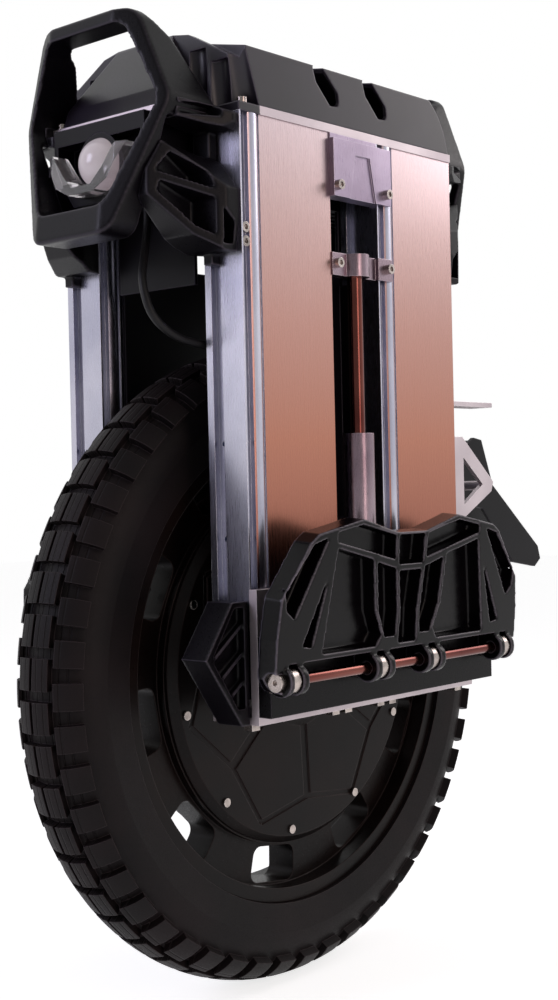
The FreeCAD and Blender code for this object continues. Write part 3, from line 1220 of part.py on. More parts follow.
def pedal():
    """The left pedal: a plate with a ribbed underside and knuckles on the hinge rod."""
    inner = HINGE_Y + PEDAL_INNER
    outer = inner + PEDAL_THICKNESS
    floor = inner + PEDAL_PLATE
    raise_z = lambda points: [(x, HINGE_Z + h) for x, h in points]
    body = prism(raise_z(pedal_outline()), "y", inner, outer)
    top = PEDAL_HEIGHT
    middle = [[(-16.0, top - 13), (16.0, top - 13), (15.0, top - 35), (-15.0, top - 35)],
              [(-14.0, top - 40), (14.0, top - 40), (10.0, top * 0.36), (11.0, 16.0), (-11.0, 16.0),
               (-10.0, top * 0.36)]]
    cuts = [prism(raise_z(points), "y", floor, outer + 1) for points in middle]
    for points in pedal_pockets():
        cuts.append(prism(raise_z(points), "y", floor, outer + 1))
        cuts.append(prism(raise_z([(-x, h) for x, h in points]), "y", floor, outer + 1))
    body = body.cut(cuts)
    near, far = LUG_NEAR, LUG_FAR
    reach = LUG_WIDTH / 2 + LUG_GAP
    knuckle = KNUCKLE_WIDTH
    low, high = HINGE_Z - KNUCKLE_RADIUS - 4, HINGE_Z + KNUCKLE_RADIUS + 1
    gaps = [(-(near - reach - knuckle), near - reach - knuckle),
            (near + reach + knuckle, far - reach - knuckle),
            (-(far - reach - knuckle), -(near + reach + knuckle))]
    gaps += [(x - reach, x + reach) for x in lug_centres()]
    body = body.cut([block(a, b, inner - 1, outer + 1, low, high) for a, b in gaps])
    eyes = []
    for x in lug_centres():
        for side in (1, -1):
            a = x + side * reach
            is_end = side * x > 0 and abs(x) == far
            b = side * (HINGE_HALF_LENGTH - RUNNING_GAP) if is_end else a + side * knuckle
            eyes.append(rod(KNUCKLE_RADIUS, (min(a, b), HINGE_Y, HINGE_Z), (max(a, b), HINGE_Y, HINGE_Z)))
    body = body.fuse(eyes).removeSplitter()
    end = PEDAL_HALF_LENGTH + 1
    cuts = [rod(HINGE_RADIUS + PIN_FIT, (-end, HINGE_Y, HINGE_Z), (end, HINGE_Y, HINGE_Z))]
    head_room = PAN_HEAD_RADIUS + RUNNING_GAP
    for s in (1, -1):
        cuts.append(rod(head_room, (s * (HINGE_HALF_LENGTH - RUNNING_GAP), HINGE_Y, HINGE_Z),
                        (s * end, HINGE_Y, HINGE_Z)))
    corner = block(-end, end, inner - 1, HINGE_Y, low, HINGE_Z)
    swing = rod(HINGE_REACH - RUNNING_GAP, (-end, HINGE_Y, HINGE_Z), (end, HINGE_Y, HINGE_Z))
    cuts.append(corner.cut(swing))
    return set_back(leaned(body.cut(cuts)))


def pedal_grip():
    """A rubber pad with rows of studs on the standing side of the pedal."""
    top, half = PEDAL_HEIGHT, PEDAL_HALF_LENGTH
    face = HINGE_Y + PEDAL_INNER
    low = BASE_TOP - HINGE_Z + 6
    outline_points = [(-half + 12, low), (half - 12, low), (half - 12, top * 0.5), (half - 38, top - 24),
                      (58.0, top - 12), (18.0, top - 20),
                      (-18.0, top - 20), (-58.0, top - 12), (-half + 38, top - 24), (-half + 12, top * 0.5)]
    pad = prism([(x, HINGE_Z + h) for x, h in outline_points], "y", face - GRIP_THICKNESS, face)
    studs = []
    columns = int((half - 24) / STUD_PITCH)
    rows = int((top - 28 - low) / STUD_PITCH) + 1
    for row in range(rows):
        z = HINGE_Z + low + 6 + row * STUD_PITCH
        for column in range(-columns, columns + 1):
            x = column * STUD_PITCH * (1.0 - 0.12 * row)
            studs.append(rod(STUD_RADIUS, (x, face - GRIP_THICKNESS - STUD_HEIGHT, z),
                             (x, face - GRIP_THICKNESS, z)))
    return set_back(leaned(pad.fuse(studs).removeSplitter()))


def leaned(shape):
    shape.rotate(V(0, HINGE_Y, HINGE_Z), V(1, 0, 0), -PEDAL_TILT)
    return shape


# Rear mudguard


def fender():
    """A bent plate over the back of the tyre, with cheeks that reach forward to two pins."""
    places = [(9, 11), (-49, 43), (-61, 41), (-78, 0), (-153, -59), (-157, -71), (-147, -78), (-109, -72),
              (-61, -21), (9, -9)]
    cheek = [(FENDER_PIN_X + u, FENDER_PIN_Z + v) for u, v in places]
    roof = cheek[2:6] + [(FENDER_PIN_X - 153, FENDER_PIN_Z - 72), (FENDER_PIN_X - 150, FENDER_PIN_Z - 62),
                         (FENDER_PIN_X - 75, FENDER_PIN_Z - 3), (FENDER_PIN_X - 57, FENDER_PIN_Z + 41)]
    half = FENDER_HALF_WIDTH
    left = prism(cheek, "y", half - FENDER_THICKNESS, half)
    return left.fuse([across(left), prism(roof, "y", -half, half)]).removeSplitter()


def fender_brackets():
    """Triangular frames on the rear faces of the cases, each with a pin to the mudguard."""
    rear = -CASE_FRONT
    x, z = FENDER_PIN_X, FENDER_PIN_Z
    inner = TRIANGLE_OUTER_Y - TRIANGLE_THICKNESS
    plate = prism([(rear, z + 41), (rear - 12, z + 41), (x - 6, z + 3), (x - 3, z - 5), (rear - 14, z - 26),
                   (rear, z - 26)],
                  "y", inner, TRIANGLE_OUTER_Y)
    hole = prism([(rear - 13, z + 24), (x + 10, z + 1), (rear - 13, z - 16)], "y", inner - 1,
                 TRIANGLE_OUTER_Y + 1)
    pin = rod(FENDER_PIN_RADIUS, (x, FENDER_HALF_WIDTH, z), (x, inner, z))
    return pair(plate.cut(hole).fuse(pin).removeSplitter())


def rear_stay():
    rear = -CASE_FRONT
    y = CASE_OFFSET_Y
    points = [(rear, y - STAY_WIDTH / 2), (rear, y + STAY_WIDTH / 2),
              (rear - STAY_LENGTH, y + STAY_WIDTH / 2), (rear - STAY_LENGTH, y - STAY_WIDTH / 2)]
    return prism(points, "z", STAY_HEIGHT - STAY_THICKNESS / 2, STAY_HEIGHT + STAY_THICKNESS / 2)


# Screws and bolts


def frame_screws():
    side_x = CASE_OFFSET_X + SIDE_GROOVE_X
    floor_y = CASE_OUTER_Y - GROOVE_DEPTH
    ear = CASE_OUTER_Y + EAR_THICKNESS
    ear_x = -CASE_SLOT - EAR_LENGTH / 2
    edge = CAP_HEAD_RADIUS + 1.2
    side = (0, 1, 0)
    left = [cap_screw((side_x, floor_y, COLLAR_TOP + 8), side),
            cap_screw((side_x, floor_y, COLLAR_TOP - 2), side),
            cap_screw((CASE_SLOT - CAP_HEAD_RADIUS, ear, BRACKET_BOTTOM + 8), side),
            cap_screw((ear_x, ear, BRACKET_BOTTOM + 8), side),
            cap_screw((CASE_SLOT - edge, CASE_OUTER_Y, COLLAR_TOP - 8), side),
            cap_screw((ear_x, ear, COLLAR_TOP - 8), side), cap_screw(corner_screw_place(), (0, 0, 1))]
    nose = [cap_screw((PLATE_TONGUE_X - edge, s * (PLATE_TONGUE_HALF_WIDTH - edge), PLATE_TOP),
                      (0, 0, 1)) for s in (1, -1)]
    return group(left + [turned(s) for s in left[:-1]] + [across(left[-1])] + nose)


def hanger_bolts():
    half = BOLT_HEAD_SIDE / 2
    heads = []
    for x in BOLT_PLACES:
        for side in (1, -1):
            heads.append(block(side * x - half, side * x + half, BOLT_Y - half, BOLT_Y + half,
                               HANGER_BOTTOM - BOLT_HEAD_HEIGHT, HANGER_BOTTOM))
    return group(heads + [across(h) for h in heads])


def parts():
    left_bracket, right_bracket = bracket(left_groove()), across(bracket(right_groove()))
    made = {
        "tyre": tyre(), "rim": rim(), "tyre_valve": valve(), "hub_covers": pair(hub_cover()),
        "hub_screws": hub_screws(), "magnet_ring": magnet_ring(), "wheel_bearings": bearings(),
        "stator_core": stator_core(), "stator_windings": windings(), "axle": axle(),
        "hanger_left": hanger(), "hanger_right": across(hanger()), "axle_blocks": axle_blocks(),
        "slide_blocks": slide_blocks(),
        "bumper_guards": pair(guard()), "pedal_bases": pair(pedal_base()),
        "hinge_lugs": hinge_lugs(), "hinge_rods": hinge_rods(), "hinge_screws": hinge_screws(),
        "hanger_bolts": hanger_bolts(),
        "shock_tubes": pair(shock_tube()),
        "pedal_left": pedal(), "pedal_right": across(pedal()),
        "pedal_grip_left": pedal_grip(), "pedal_grip_right": across(pedal_grip()),
        "battery_packs": battery_packs(), "battery_bottom_caps": bottom_caps(),
        "top_plate": top_plate(), "corner_blocks": corner_blocks(), "top_cover": top_cover(),
        "front_hood": front_hood(),
        "controller_box": controller_box(), "controller_board": controller_board(),
        "power_switch": power_switch(), "power_button": power_button(),
        "front_loop": loop_body(), "front_bracket_left": left_bracket,
        "front_bracket_right": right_bracket,
        "headlight_housing": lamp_housing(), "headlight_projector": projector(),
        "headlight_lens": projector_lens(),
        "headlight_bezel": lamp_bezel(), "headlight_cable": lamp_cable(), "splash_panel": splash_panel(),
        "inner_liners": liners(),
        "rear_loop": behind(loop_body()), "rear_brackets": group([turned(left_bracket),
                                                                  turned(right_bracket)]),
        "tail_light_housing": tail_housing(), "tail_light_lens": tail_lens(),
        "slot_brackets": group([slot_bracket(), turned(slot_bracket())]),
        "shock_collars": group([shock_collar(), turned(shock_collar())]),
        "shock_rods": group([shock_rod(), turned(shock_rod())]),
        "fender": fender(), "fender_brackets": fender_brackets(), "rear_stay": rear_stay(),
        "frame_screws": frame_screws(),
    }
    for name in CASES:
        made["battery_case_" + name] = battery_case(name)
    return made


os.makedirs("parts", exist_ok=True)
for node, shape in parts().items():
    solids = shape.Solids
    bad = [s for s in solids if not s.isValid() or s.Volume <= 0]
    print("%-24s solids %3d volume %10.0f%s" % (node, len(solids), shape.Volume,
                                                "  CHECK" if bad or not solids else ""))
    shape.exportStep("parts/%s.step" % node)
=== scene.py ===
import json
import math

import bpy
from mathutils import Matrix, Vector

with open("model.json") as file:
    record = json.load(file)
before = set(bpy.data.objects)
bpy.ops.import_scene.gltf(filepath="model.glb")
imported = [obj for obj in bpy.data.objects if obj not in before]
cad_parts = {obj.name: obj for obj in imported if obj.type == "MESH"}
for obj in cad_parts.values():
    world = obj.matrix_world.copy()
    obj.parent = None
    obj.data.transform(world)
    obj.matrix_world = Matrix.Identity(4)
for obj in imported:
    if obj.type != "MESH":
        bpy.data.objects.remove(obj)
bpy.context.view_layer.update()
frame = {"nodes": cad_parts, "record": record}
scene = bpy.context.scene
nodes = frame["nodes"]
MM = 0.001
WHITE = (1, 1, 1, 1)

# Camera, solved from the tyre, the rim and the plate edges in the photograph
CAMERA_PLACE = Vector((0.9040, 0.8081, 0.3887))
CAMERA_YAW = math.radians(41.447)
CAMERA_PITCH = math.radians(0.457)
CAMERA_ROLL = math.radians(-1.309)
CAMERA_LENS = 54.142
CAMERA_SENSOR = 36.0


def set_camera():
    """The photograph's camera: its place, its turn, and a small roll about its own axis."""
    back = Vector((math.cos(CAMERA_YAW) * math.cos(CAMERA_PITCH),
                   math.sin(CAMERA_YAW) * math.cos(CAMERA_PITCH),
                   math.sin(CAMERA_PITCH)))
    level = Vector((-math.sin(CAMERA_YAW), math.cos(CAMERA_YAW), 0.0))
    upright = back.cross(level)
    right = level * math.cos(CAMERA_ROLL) + upright * math.sin(CAMERA_ROLL)
    up = upright * math.cos(CAMERA_ROLL) - level * math.sin(CAMERA_ROLL)
    turn = Matrix((right, up, back)).transposed().to_4x4()
    camera = bpy.data.objects.new("camera", bpy.data.cameras.new("camera"))
    camera.data.lens = CAMERA_LENS
    camera.data.sensor_width = CAMERA_SENSOR
    camera.matrix_world = Matrix.Translation(CAMERA_PLACE) @ turn
    scene.collection.objects.link(camera)
    scene.camera = camera


# Shader nodes

# the Mix node's colour sockets, which share their names with its number sockets
MIX_FIRST = 6
MIX_SECOND = 7
MIX_RESULT = 2


def linear(shade):
    """An sRGB hex colour as linear red, green, blue and alpha."""
    parts = [int(shade[i:i + 2], 16) / 255 for i in (1, 3, 5)]
    return [c / 12.92 if c <= 0.04045 else ((c + 0.055) / 1.055) ** 2.4 for c in parts] + [1.0]


def new_material(name):
    """A material, with its node tree and its shader."""
    material = bpy.data.materials.new(name)
    material.use_nodes = True
    return material, material.node_tree, material.node_tree.nodes["Principled BSDF"]


def add(tree, kind, inputs=None, **settings):
    """A new node, with its settings made and its sockets set or linked."""
    node = tree.nodes.new(kind)
    for name, value in settings.items():
        setattr(node, name, value)
    for name, value in (inputs or {}).items():
        if isinstance(value, bpy.types.NodeSocket):
            tree.links.new(value, node.inputs[name])
        else:
            node.inputs[name].default_value = value
    return node


def object_place(tree):
    """The place on the object, in metres."""
    return add(tree, "ShaderNodeTexCoord").outputs["Object"]


def true_normal(tree):
    """The direction that the face looks in."""
    return add(tree, "ShaderNodeNewGeometry").outputs["True Normal"]


def stretch(tree, place, scale):
    """The place, scaled along each axis."""
    return add(tree, "ShaderNodeMapping", {"Vector": place, "Scale": scale}).outputs["Vector"]


def axes_of(tree, vector):
    """The three numbers of a vector."""
    return add(tree, "ShaderNodeSeparateXYZ", {"Vector": vector}).outputs


def maths(tree, operation, first, second=None):
    """One sum on one or two values."""
    inputs = {0: first} if second is None else {0: first, 1: second}
    return add(tree, "ShaderNodeMath", inputs, operation=operation).outputs["Value"]


def dot(tree, first, second):
    """How far two directions agree."""
    inputs = {0: first, 1: second}
    return add(tree, "ShaderNodeVectorMath", inputs, operation="DOT_PRODUCT").outputs["Value"]


def noise(tree, place, length, detail):
    """A cloudy value, with clouds of about a length in millimetres."""
    inputs = {"Vector": place, "Scale": 1 / (length * MM), "Detail": detail}
    return add(tree, "ShaderNodeTexNoise", inputs).outputs["Fac"]


def rounded_normal(tree, edge, samples):
    """The direction of the face as if its edges were rounded by a length in millimetres."""
    return add(tree, "ShaderNodeBevel", {"Radius": edge * MM}, samples=samples).outputs["Normal"]


def bump(tree, height, normal, strength, depth, invert=False):
    """A relief of a depth in millimetres on top of a normal."""
    inputs = {"Height": height, "Normal": normal, "Strength": strength, "Distance": depth * MM}
    return add(tree, "ShaderNodeBump", inputs, invert=invert).outputs["Normal"]


def spread(tree, value, low, high, start=0.0, end=1.0):
    """The value, mapped from start..end to low..high."""
    sockets = {"Value": value, "From Min": start, "From Max": end, "To Min": low, "To Max": high}
    return add(tree, "ShaderNodeMapRange", sockets).outputs["Result"]


def ramp(tree, value, stops):
    """A colour along a list of places and hex shades."""
    node = add(tree, "ShaderNodeValToRGB", {"Fac": value})
    band = node.color_ramp.elements
    while len(band) < len(stops):
        band.new(0.5)
    for element, (place, shade) in zip(band, stops):
        element.position = place
        element.color = linear(shade)
    return node.outputs["Color"]


def blend_colour(tree, amount, first, second):
    """A colour between two sockets or hex shades."""
    node = add(tree, "ShaderNodeMix", data_type="RGBA")
    tree.links.new(amount, node.inputs["Factor"])
    for socket, colour in ((node.inputs[MIX_FIRST], first), (node.inputs[MIX_SECOND], second)):
        if isinstance(colour, bpy.types.NodeSocket):
            tree.links.new(colour, socket)
        else:
            socket.default_value = linear(colour)
    return node.outputs[MIX_RESULT]


# Materials

FINE_DETAIL = 4.0
BROAD_DETAIL = 3.0
BEVEL_SAMPLES = 6
GRAIN_STRENGTH = 0.6
# the broad noise at which a material has its first shade, and its second
SHADE_FIRST = 0.35
SHADE_SECOND = 0.65
# the part of the fine noise that spreads over the roughness
GRAIN_LOW = 0.3
GRAIN_HIGH = 0.7
# the pointiness at which a painted highlight begins on a ridge, and at which it is strongest, and how strong
# the strongest is
RIDGE_START = 0.515
RIDGE_END = 0.57
RIDGE_HIGHLIGHT = 0.85
# how far a rounded edge agrees with its face where its painted highlight is strongest, and where there is
# none, and how strong the strongest is
EDGE_TURNED = 0.85
EDGE_FLAT = 0.995
EDGE_HIGHLIGHT = 0.8


def surface(name, shades, roughness, grain, depth, edge, painted_highlight=None, brush=(1, 1, 1), patch=70.0, spare=0.12,
            ridged=False, **sockets):
    """A material whose colour drifts between two shades, with a grain in its bump and roughness.

    grain, patch, depth and edge are lengths in millimetres: the size of the grain, the size of the drift of
    colour, the height of the grain and the rounding of the edges. brush stretches the grain. The edge shade
    is a painted highlight on the rounded edges, or on the ridges of a finely meshed node. spare is how far
    the roughness strays.
    """
    material, tree, shader = new_material(name)
    for socket, value in sockets.items():
        shader.inputs[socket.replace("_", " ")].default_value = value
    place = object_place(tree)
    fine = noise(tree, stretch(tree, place, brush), grain, FINE_DETAIL)
    broad = noise(tree, place, patch, BROAD_DETAIL)
    colour = ramp(tree, broad, [(SHADE_FIRST, shades[0]), (SHADE_SECOND, shades[1])])
    rounded = rounded_normal(tree, edge, BEVEL_SAMPLES)
    # painted highlight: the edge shade goes on the ridges where ridged is set, and on the rounded edges
    # elsewhere
    if ridged:
        ridge = add(tree, "ShaderNodeNewGeometry").outputs["Pointiness"]
        highlight_share = spread(tree, ridge, 0.0, RIDGE_HIGHLIGHT, RIDGE_START, RIDGE_END)
        colour = blend_colour(tree, highlight_share, colour, painted_highlight)
    elif painted_highlight:
        turned = dot(tree, rounded, true_normal(tree))
        highlight_share = spread(tree, turned, EDGE_HIGHLIGHT, 0.0, EDGE_TURNED, EDGE_FLAT)
        colour = blend_colour(tree, highlight_share, colour, painted_highlight)
    strayed = spread(tree, fine, roughness - spare, roughness + spare, GRAIN_LOW, GRAIN_HIGH)
    tree.links.new(colour, shader.inputs["Base Color"])
    tree.links.new(strayed, shader.inputs["Roughness"])
    tree.links.new(bump(tree, fine, rounded, GRAIN_STRENGTH, depth), shader.inputs["Normal"])
    return material


SIPE_SPACING = 5.5 * MM
SIPE_DEPTH = 1.2
SIPE_STRENGTH = 0.9
# half the width of a cut at its floor and at its mouth, as a share of the spacing
SIPE_FLOOR = 0.04
SIPE_MOUTH = 0.12
# the centre blocks end here, measured from the middle plane
SIPE_REACH = 25.0 * MM


def cut_sipes(material):
    """Fine cuts round the tyre, moulded into the centre blocks, which break up their shine."""
    tree = material.node_tree
    shader = tree.nodes["Principled BSDF"]
    grained = shader.inputs["Normal"].links[0].from_socket
    out = maths(tree, "ABSOLUTE", axes_of(tree, object_place(tree))["Y"])
    wave = maths(tree, "PINGPONG", maths(tree, "DIVIDE", out, SIPE_SPACING), 0.5)
    tread = spread(tree, out, 1.0, 0.0, SIPE_REACH - MM, SIPE_REACH)
    line = maths(tree, "MULTIPLY", spread(tree, wave, 1.0, 0.0, SIPE_FLOOR, SIPE_MOUTH), tread)
    cut = bump(tree, line, grained, SIPE_STRENGTH, SIPE_DEPTH, invert=True)
    tree.links.new(cut, shader.inputs["Normal"])


# the recessed side panels lie between these two distances from the middle plane
PANEL_OUT = 92.0 * MM
PANEL_BEAD = 93.1 * MM
CASE_LOW = 294.0 * MM
CASE_HIGH = 654.5 * MM
# painted shade and light on the side panels, from dark at their lower end to pale copper-pink at their upper
# end
PANEL_PAINTED_LIGHT = [(0.0, "#1E1530"), (0.07, "#4E3038"), (0.15, "#9A6252"), (0.36, "#B27966"),
                (0.6, "#B98D83"), (0.82, "#BC9F9D"), (1.0, "#C4B1B5")]
STREAK_BRUSH = (1, 1, 0.01)
STREAK_WIDTH = 3.0
STREAK_DETAIL = 5.0
STREAK_SHIFT = 0.015


def case_finish():
    """Brushed extrusion: bare metal in front and in the grooves; on the side panels, painted shade low down
    that turns to pale copper-pink painted light higher up.
    """
    # brushed lengthwise, so highlights smear across the brushing; a bright highlight is painted on its edges,
    # and the glow of the side panels is painted light
    material = surface(
        "aluminium_extruded_brushed", ("#A9A8B8", "#C0BECB"), roughness=0.28, grain=0.35, depth=0.004,
        edge=0.35, painted_highlight="#EFEBF2", brush=(1, 1, 0.02), spare=0.04, Metallic=1.0)
    tree = material.node_tree
    shader = tree.nodes["Principled BSDF"]
    bare = shader.inputs["Base Color"].links[0].from_socket
    place = object_place(tree)
    axes = axes_of(tree, place)
    # painted light and shade: only the sideways faces of the side panels take it, darker low down and paler
    # high up
    side = maths(tree, "ABSOLUTE", axes_of(tree, true_normal(tree))["Y"])
    out = maths(tree, "ABSOLUTE", axes["Y"])
    panel = maths(tree, "GREATER_THAN", out, PANEL_OUT)
    inside_bead = maths(tree, "LESS_THAN", out, PANEL_BEAD)
    where = maths(tree, "MULTIPLY", maths(tree, "MULTIPLY", panel, inside_bead), side)
    height = spread(tree, axes["Z"], 0.0, 1.0, CASE_LOW, CASE_HIGH)
    streak = noise(tree, stretch(tree, place, STREAK_BRUSH), STREAK_WIDTH, STREAK_DETAIL)
    drift = maths(tree, "ADD", height, spread(tree, streak, -STREAK_SHIFT, STREAK_SHIFT))
    painted_panel_light = ramp(tree, drift, PANEL_PAINTED_LIGHT)
    tree.links.new(blend_colour(tree, where, bare, painted_panel_light), shader.inputs["Base Color"])
    return material


LENS_INDEX = 1.58
LENS_CLEARNESS = 0.92
LENS_WAVE = 14
LENS_DETAIL = 1.0
LENS_SHADES = [(0.3, "#F6EDF1"), (0.7, "#FFFFFF")]
LENS_SMOOTH = 0.02
LENS_HAZY = 0.09
LENS_EDGE = 0.8
LENS_SAMPLES = 4
LENS_STRENGTH = 0.15
LENS_DEPTH = 0.2


def lens_glass():
    """Clear plastic with a faint wave of the mould in its shine."""
    # moulded and polished, so it is clear at its middle and gathers white at its rim
    material, tree, shader = new_material("polycarbonate_moulded_clear")
    shader.inputs["IOR"].default_value = LENS_INDEX
    shader.inputs["Transmission Weight"].default_value = LENS_CLEARNESS
    wave = noise(tree, object_place(tree), LENS_WAVE, LENS_DETAIL)
    rounded = rounded_normal(tree, LENS_EDGE, LENS_SAMPLES)
    tree.links.new(ramp(tree, wave, LENS_SHADES), shader.inputs["Base Color"])
    tree.links.new(spread(tree, wave, LENS_SMOOTH, LENS_HAZY), shader.inputs["Roughness"])
    tree.links.new(bump(tree, wave, rounded, LENS_STRENGTH, LENS_DEPTH), shader.inputs["Normal"])
    return material


# moulded rubber with a fine mould grain: almost no shine, a little brown where it is dusty, and a dark grey
# highlight painted on its edges
tyre_rubber = surface(
    "rubber_moulded_tyre", ("#0E0A0B", "#1A1314"), roughness=0.55, grain=0.9, depth=0.06, edge=0.9,
    painted_highlight="#4A4143", Specular_IOR_Level=0.14)
cut_sipes(tyre_rubber)
# moulded rubber from a smooth tool: an even dull black
soft_rubber = surface(
    "rubber_moulded_smooth", ("#070608", "#0F0D10"), roughness=0.5, grain=0.7, depth=0.05, edge=0.5,
    Specular_IOR_Level=0.25)
# powder coat over a rough casting: an orange-peel grain, and dull brown highlights painted on its edges
black_casting = surface(
    "aluminium_cast_powder_coated", ("#0A0606", "#170E0C"), roughness=0.38, grain=1.4, depth=0.03, edge=1.4,
    painted_highlight="#3A2F2E", Specular_IOR_Level=0.12)
# smooth satin coat over a die casting: almost black, with sharp bright highlight lines painted on its ridges
pedal_casting = surface(
    "aluminium_die_cast_satin_coat", ("#040305", "#090609"), roughness=0.22, grain=2.5, depth=0.008, edge=0.6,
    painted_highlight="#948E99", spare=0.05, ridged=True, Specular_IOR_Level=0.14)
# the same casting with a duller coat: almost black, with soft dark grey highlights painted on its edges
base_casting = surface(
    "aluminium_die_cast_black_coat", ("#040305", "#090609"), roughness=0.3, grain=2.5, depth=0.01, edge=1.2,
    painted_highlight="#4A454D", spare=0.05, Specular_IOR_Level=0.12)
# cut from plate, blasted and anodised clear: a soft even brightness that catches light from every side, and a
# bright highlight painted on its edges
bright_plate = surface(
    "aluminium_cut_blasted_anodised", ("#B4A9AE", "#CBC0C4"), roughness=0.5, grain=0.6, depth=0.02, edge=0.5,
    painted_highlight="#F0E8EA", spare=0.06, Metallic=1.0)
# turned tube and collar, anodised clear: fine rings that stretch the highlight up and down, and a pale
# highlight painted on their edges
turned_tube = surface(
    "aluminium_turned_anodised", ("#82707A", "#9C8A93"), roughness=0.28, grain=0.5, depth=0.02, edge=0.5,
    painted_highlight="#D9CCD2", brush=(1, 1, 0.05), Metallic=1.0)
# milled and dyed in a dark bath: a violet cast that shows where light falls on it, and a pale highlight
# painted on its edges
dark_plate = surface(
    "aluminium_milled_dark_anodised", ("#8C7E90", "#A698AB"), roughness=0.34, grain=0.5, depth=0.01, edge=0.6,
    painted_highlight="#D6CBDA", brush=(1, 1, 0.05), Metallic=1.0)
# extruded and dyed black: a dull grey highlight painted along the edges of the fins
heat_sink = surface(
    "aluminium_extruded_black_anodised", ("#121114", "#1A191D"), roughness=0.42, grain=0.5, depth=0.03,
    edge=0.5, painted_highlight="#3A383F", brush=(0.05, 1, 1), Metallic=1.0)
# ground and bronze coated: a sharp dark red-brown mirror
rod_bronze = surface(
    "steel_ground_bronze_coated", ("#5E312D", "#7B4A42"), roughness=0.16, grain=0.6, depth=0.01, edge=0.3,
    spare=0.05, brush=(1, 1, 0.1), Metallic=1.0)
# turned and zinc plated: fine rings, and bright highlights painted on the rims
bright_steel = surface(
    "steel_turned_zinc_plated", ("#8D8480", "#B9AEA8"), roughness=0.24, grain=0.4, depth=0.02, edge=0.4,
    painted_highlight="#EFE8E4", patch=9.0, Metallic=1.0)
# stacked bare sheets: dull grey with fine lines across
motor_steel = surface(
    "steel_laminated_bare", ("#5A5A5E", "#6E6E73"), roughness=0.4, grain=0.4, depth=0.03, edge=0.3,
    brush=(1, 0.05, 1), Metallic=1.0)
# enamelled wire in turns: a red-brown glint on every turn
copper_wire = surface(
    "copper_wound_enamelled", ("#8E4A22", "#B4652F"), roughness=0.3, grain=1.0, depth=0.2, edge=0.3,
    brush=(1, 0.3, 1), Metallic=1.0)
# injection moulded with a fine spark-eroded grain: dull, with soft grey highlights painted on its edges
black_plastic = surface(
    "polyamide_moulded_grained", ("#060408", "#0C090F"), roughness=0.4, grain=0.8, depth=0.02, edge=1.5,
    painted_highlight="#423D47", Specular_IOR_Level=0.14)
# the same moulding with a grey highlight painted on its ridges: a grey line round every opening
loop_plastic = surface(
    "polyamide_moulded_ridge_highlight", ("#060408", "#0C090F"), roughness=0.36, grain=0.8, depth=0.015, edge=0.8,
    painted_highlight="#5A545F", ridged=True, Specular_IOR_Level=0.16)
# moulded in a polished tool: a satin sheen that runs along the crest, and a grey highlight painted on its
# edges
satin_plastic = surface(
    "polyamide_moulded_satin", ("#17121B", "#231D29"), roughness=0.34, grain=1.2, depth=0.008, edge=1.8,
    painted_highlight="#5C5264", spare=0.05, Specular_IOR_Level=0.42)
# moulded in a mirror tool: a hard small highlight
gloss_plastic = surface(
    "polycarbonate_moulded_gloss", ("#19191B", "#222225"), roughness=0.16, grain=2.0, depth=0.02, edge=0.5,
    spare=0.05)
# shrunk film: a waxy blue shine with soft folds
pack_wrap = surface(
    "pvc_film_shrunk", ("#123060", "#1A4080"), roughness=0.35, grain=3.0, depth=0.1, edge=1.0)
# printed lacquer: an even green gloss
board_mask = surface(
    "glass_epoxy_solder_mask", ("#0C3A1E", "#12502A"), roughness=0.35, grain=1.2, depth=0.05, edge=0.4)
# moulded red acrylic: deep colour with a hard gloss
red_lens = surface(
    "acrylic_moulded_red", ("#A00C10", "#C41418"), roughness=0.14, grain=3.0, depth=0.05, edge=0.8,
    spare=0.06, Transmission_Weight=0.35)
# moulded opal glass of the projector: milky, so it gathers the light, and a faint glow of painted light makes
# it show as a pale disc
opal_lens = surface(
    "glass_pressed_opal", ("#F1E4E9", "#FFF6F8"), roughness=0.16, grain=6.0, depth=0.02, edge=0.6,
    spare=0.06, Transmission_Weight=0.5, Emission_Color=linear("#FFEFF3"), Emission_Strength=0.14)
clear_lens = lens_glass()
brushed_case = case_finish()

FINISHES = {
    "tyre_rubber": tyre_rubber,
    "rubber": soft_rubber,
    "black_casting": black_casting,
    "pedal_casting": pedal_casting,
    "extrusion": brushed_case,
    "plate": bright_plate,
    "bracket": dark_plate,
    "heat_sink": heat_sink,
    "rod": rod_bronze,
    "steel": bright_steel,
    "motor_steel": motor_steel,
    "copper": copper_wire,
    "black_plastic": black_plastic,
    "button_plastic": gloss_plastic,
    "pack_wrap": pack_wrap,
    "board": board_mask,
    "clear": clear_lens,
    "red_lens": red_lens,
}
OWN_FINISHES = {
    "top_cover": satin_plastic,
    "front_hood": satin_plastic,
    "corner_blocks": satin_plastic,
    "front_loop": loop_plastic,
    "rear_loop": loop_plastic,
    "front_bracket_left": loop_plastic,
    "front_bracket_right": loop_plastic,
    "bumper_guards": loop_plastic,
    "pedal_bases": base_casting,
    "headlight_lens": opal_lens,
    "shock_tubes": turned_tube,
    "shock_collars": turned_tube,
    "hinge_rods": rod_bronze,
}


def dress_nodes():
    """Each node takes its slot's finish, or its own where its surface was made otherwise."""
    for entry in frame["record"]["subparts"]:
        mesh = nodes[entry["node"]].data
        mesh.materials.clear()
        mesh.materials.append(OWN_FINISHES.get(entry["node"], FINISHES[entry["material_slot"]]))


SMOOTHING = 0.5


def soften(name, cell, rounds):
    """Rounds the edges of a moulded or cast node: even cells in millimetres, then rounds of smoothing."""
    piece = nodes[name]
    even = piece.modifiers.new("even", "REMESH")
    even.mode = "VOXEL"
    even.voxel_size = cell * MM
    even.use_smooth_shade = True
    smooth = piece.modifiers.new("smooth", "SMOOTH")
    smooth.factor = SMOOTHING
    smooth.iterations = rounds


# Light and floor

# what a mirror sees of the room: white behind the object, and dim where the camera stands
ROOM_WHITE = 1.0
ROOM_DIM = 0.1
ROOM_WHITE_UP_TO = -0.1
ROOM_DIM_FROM = 0.85
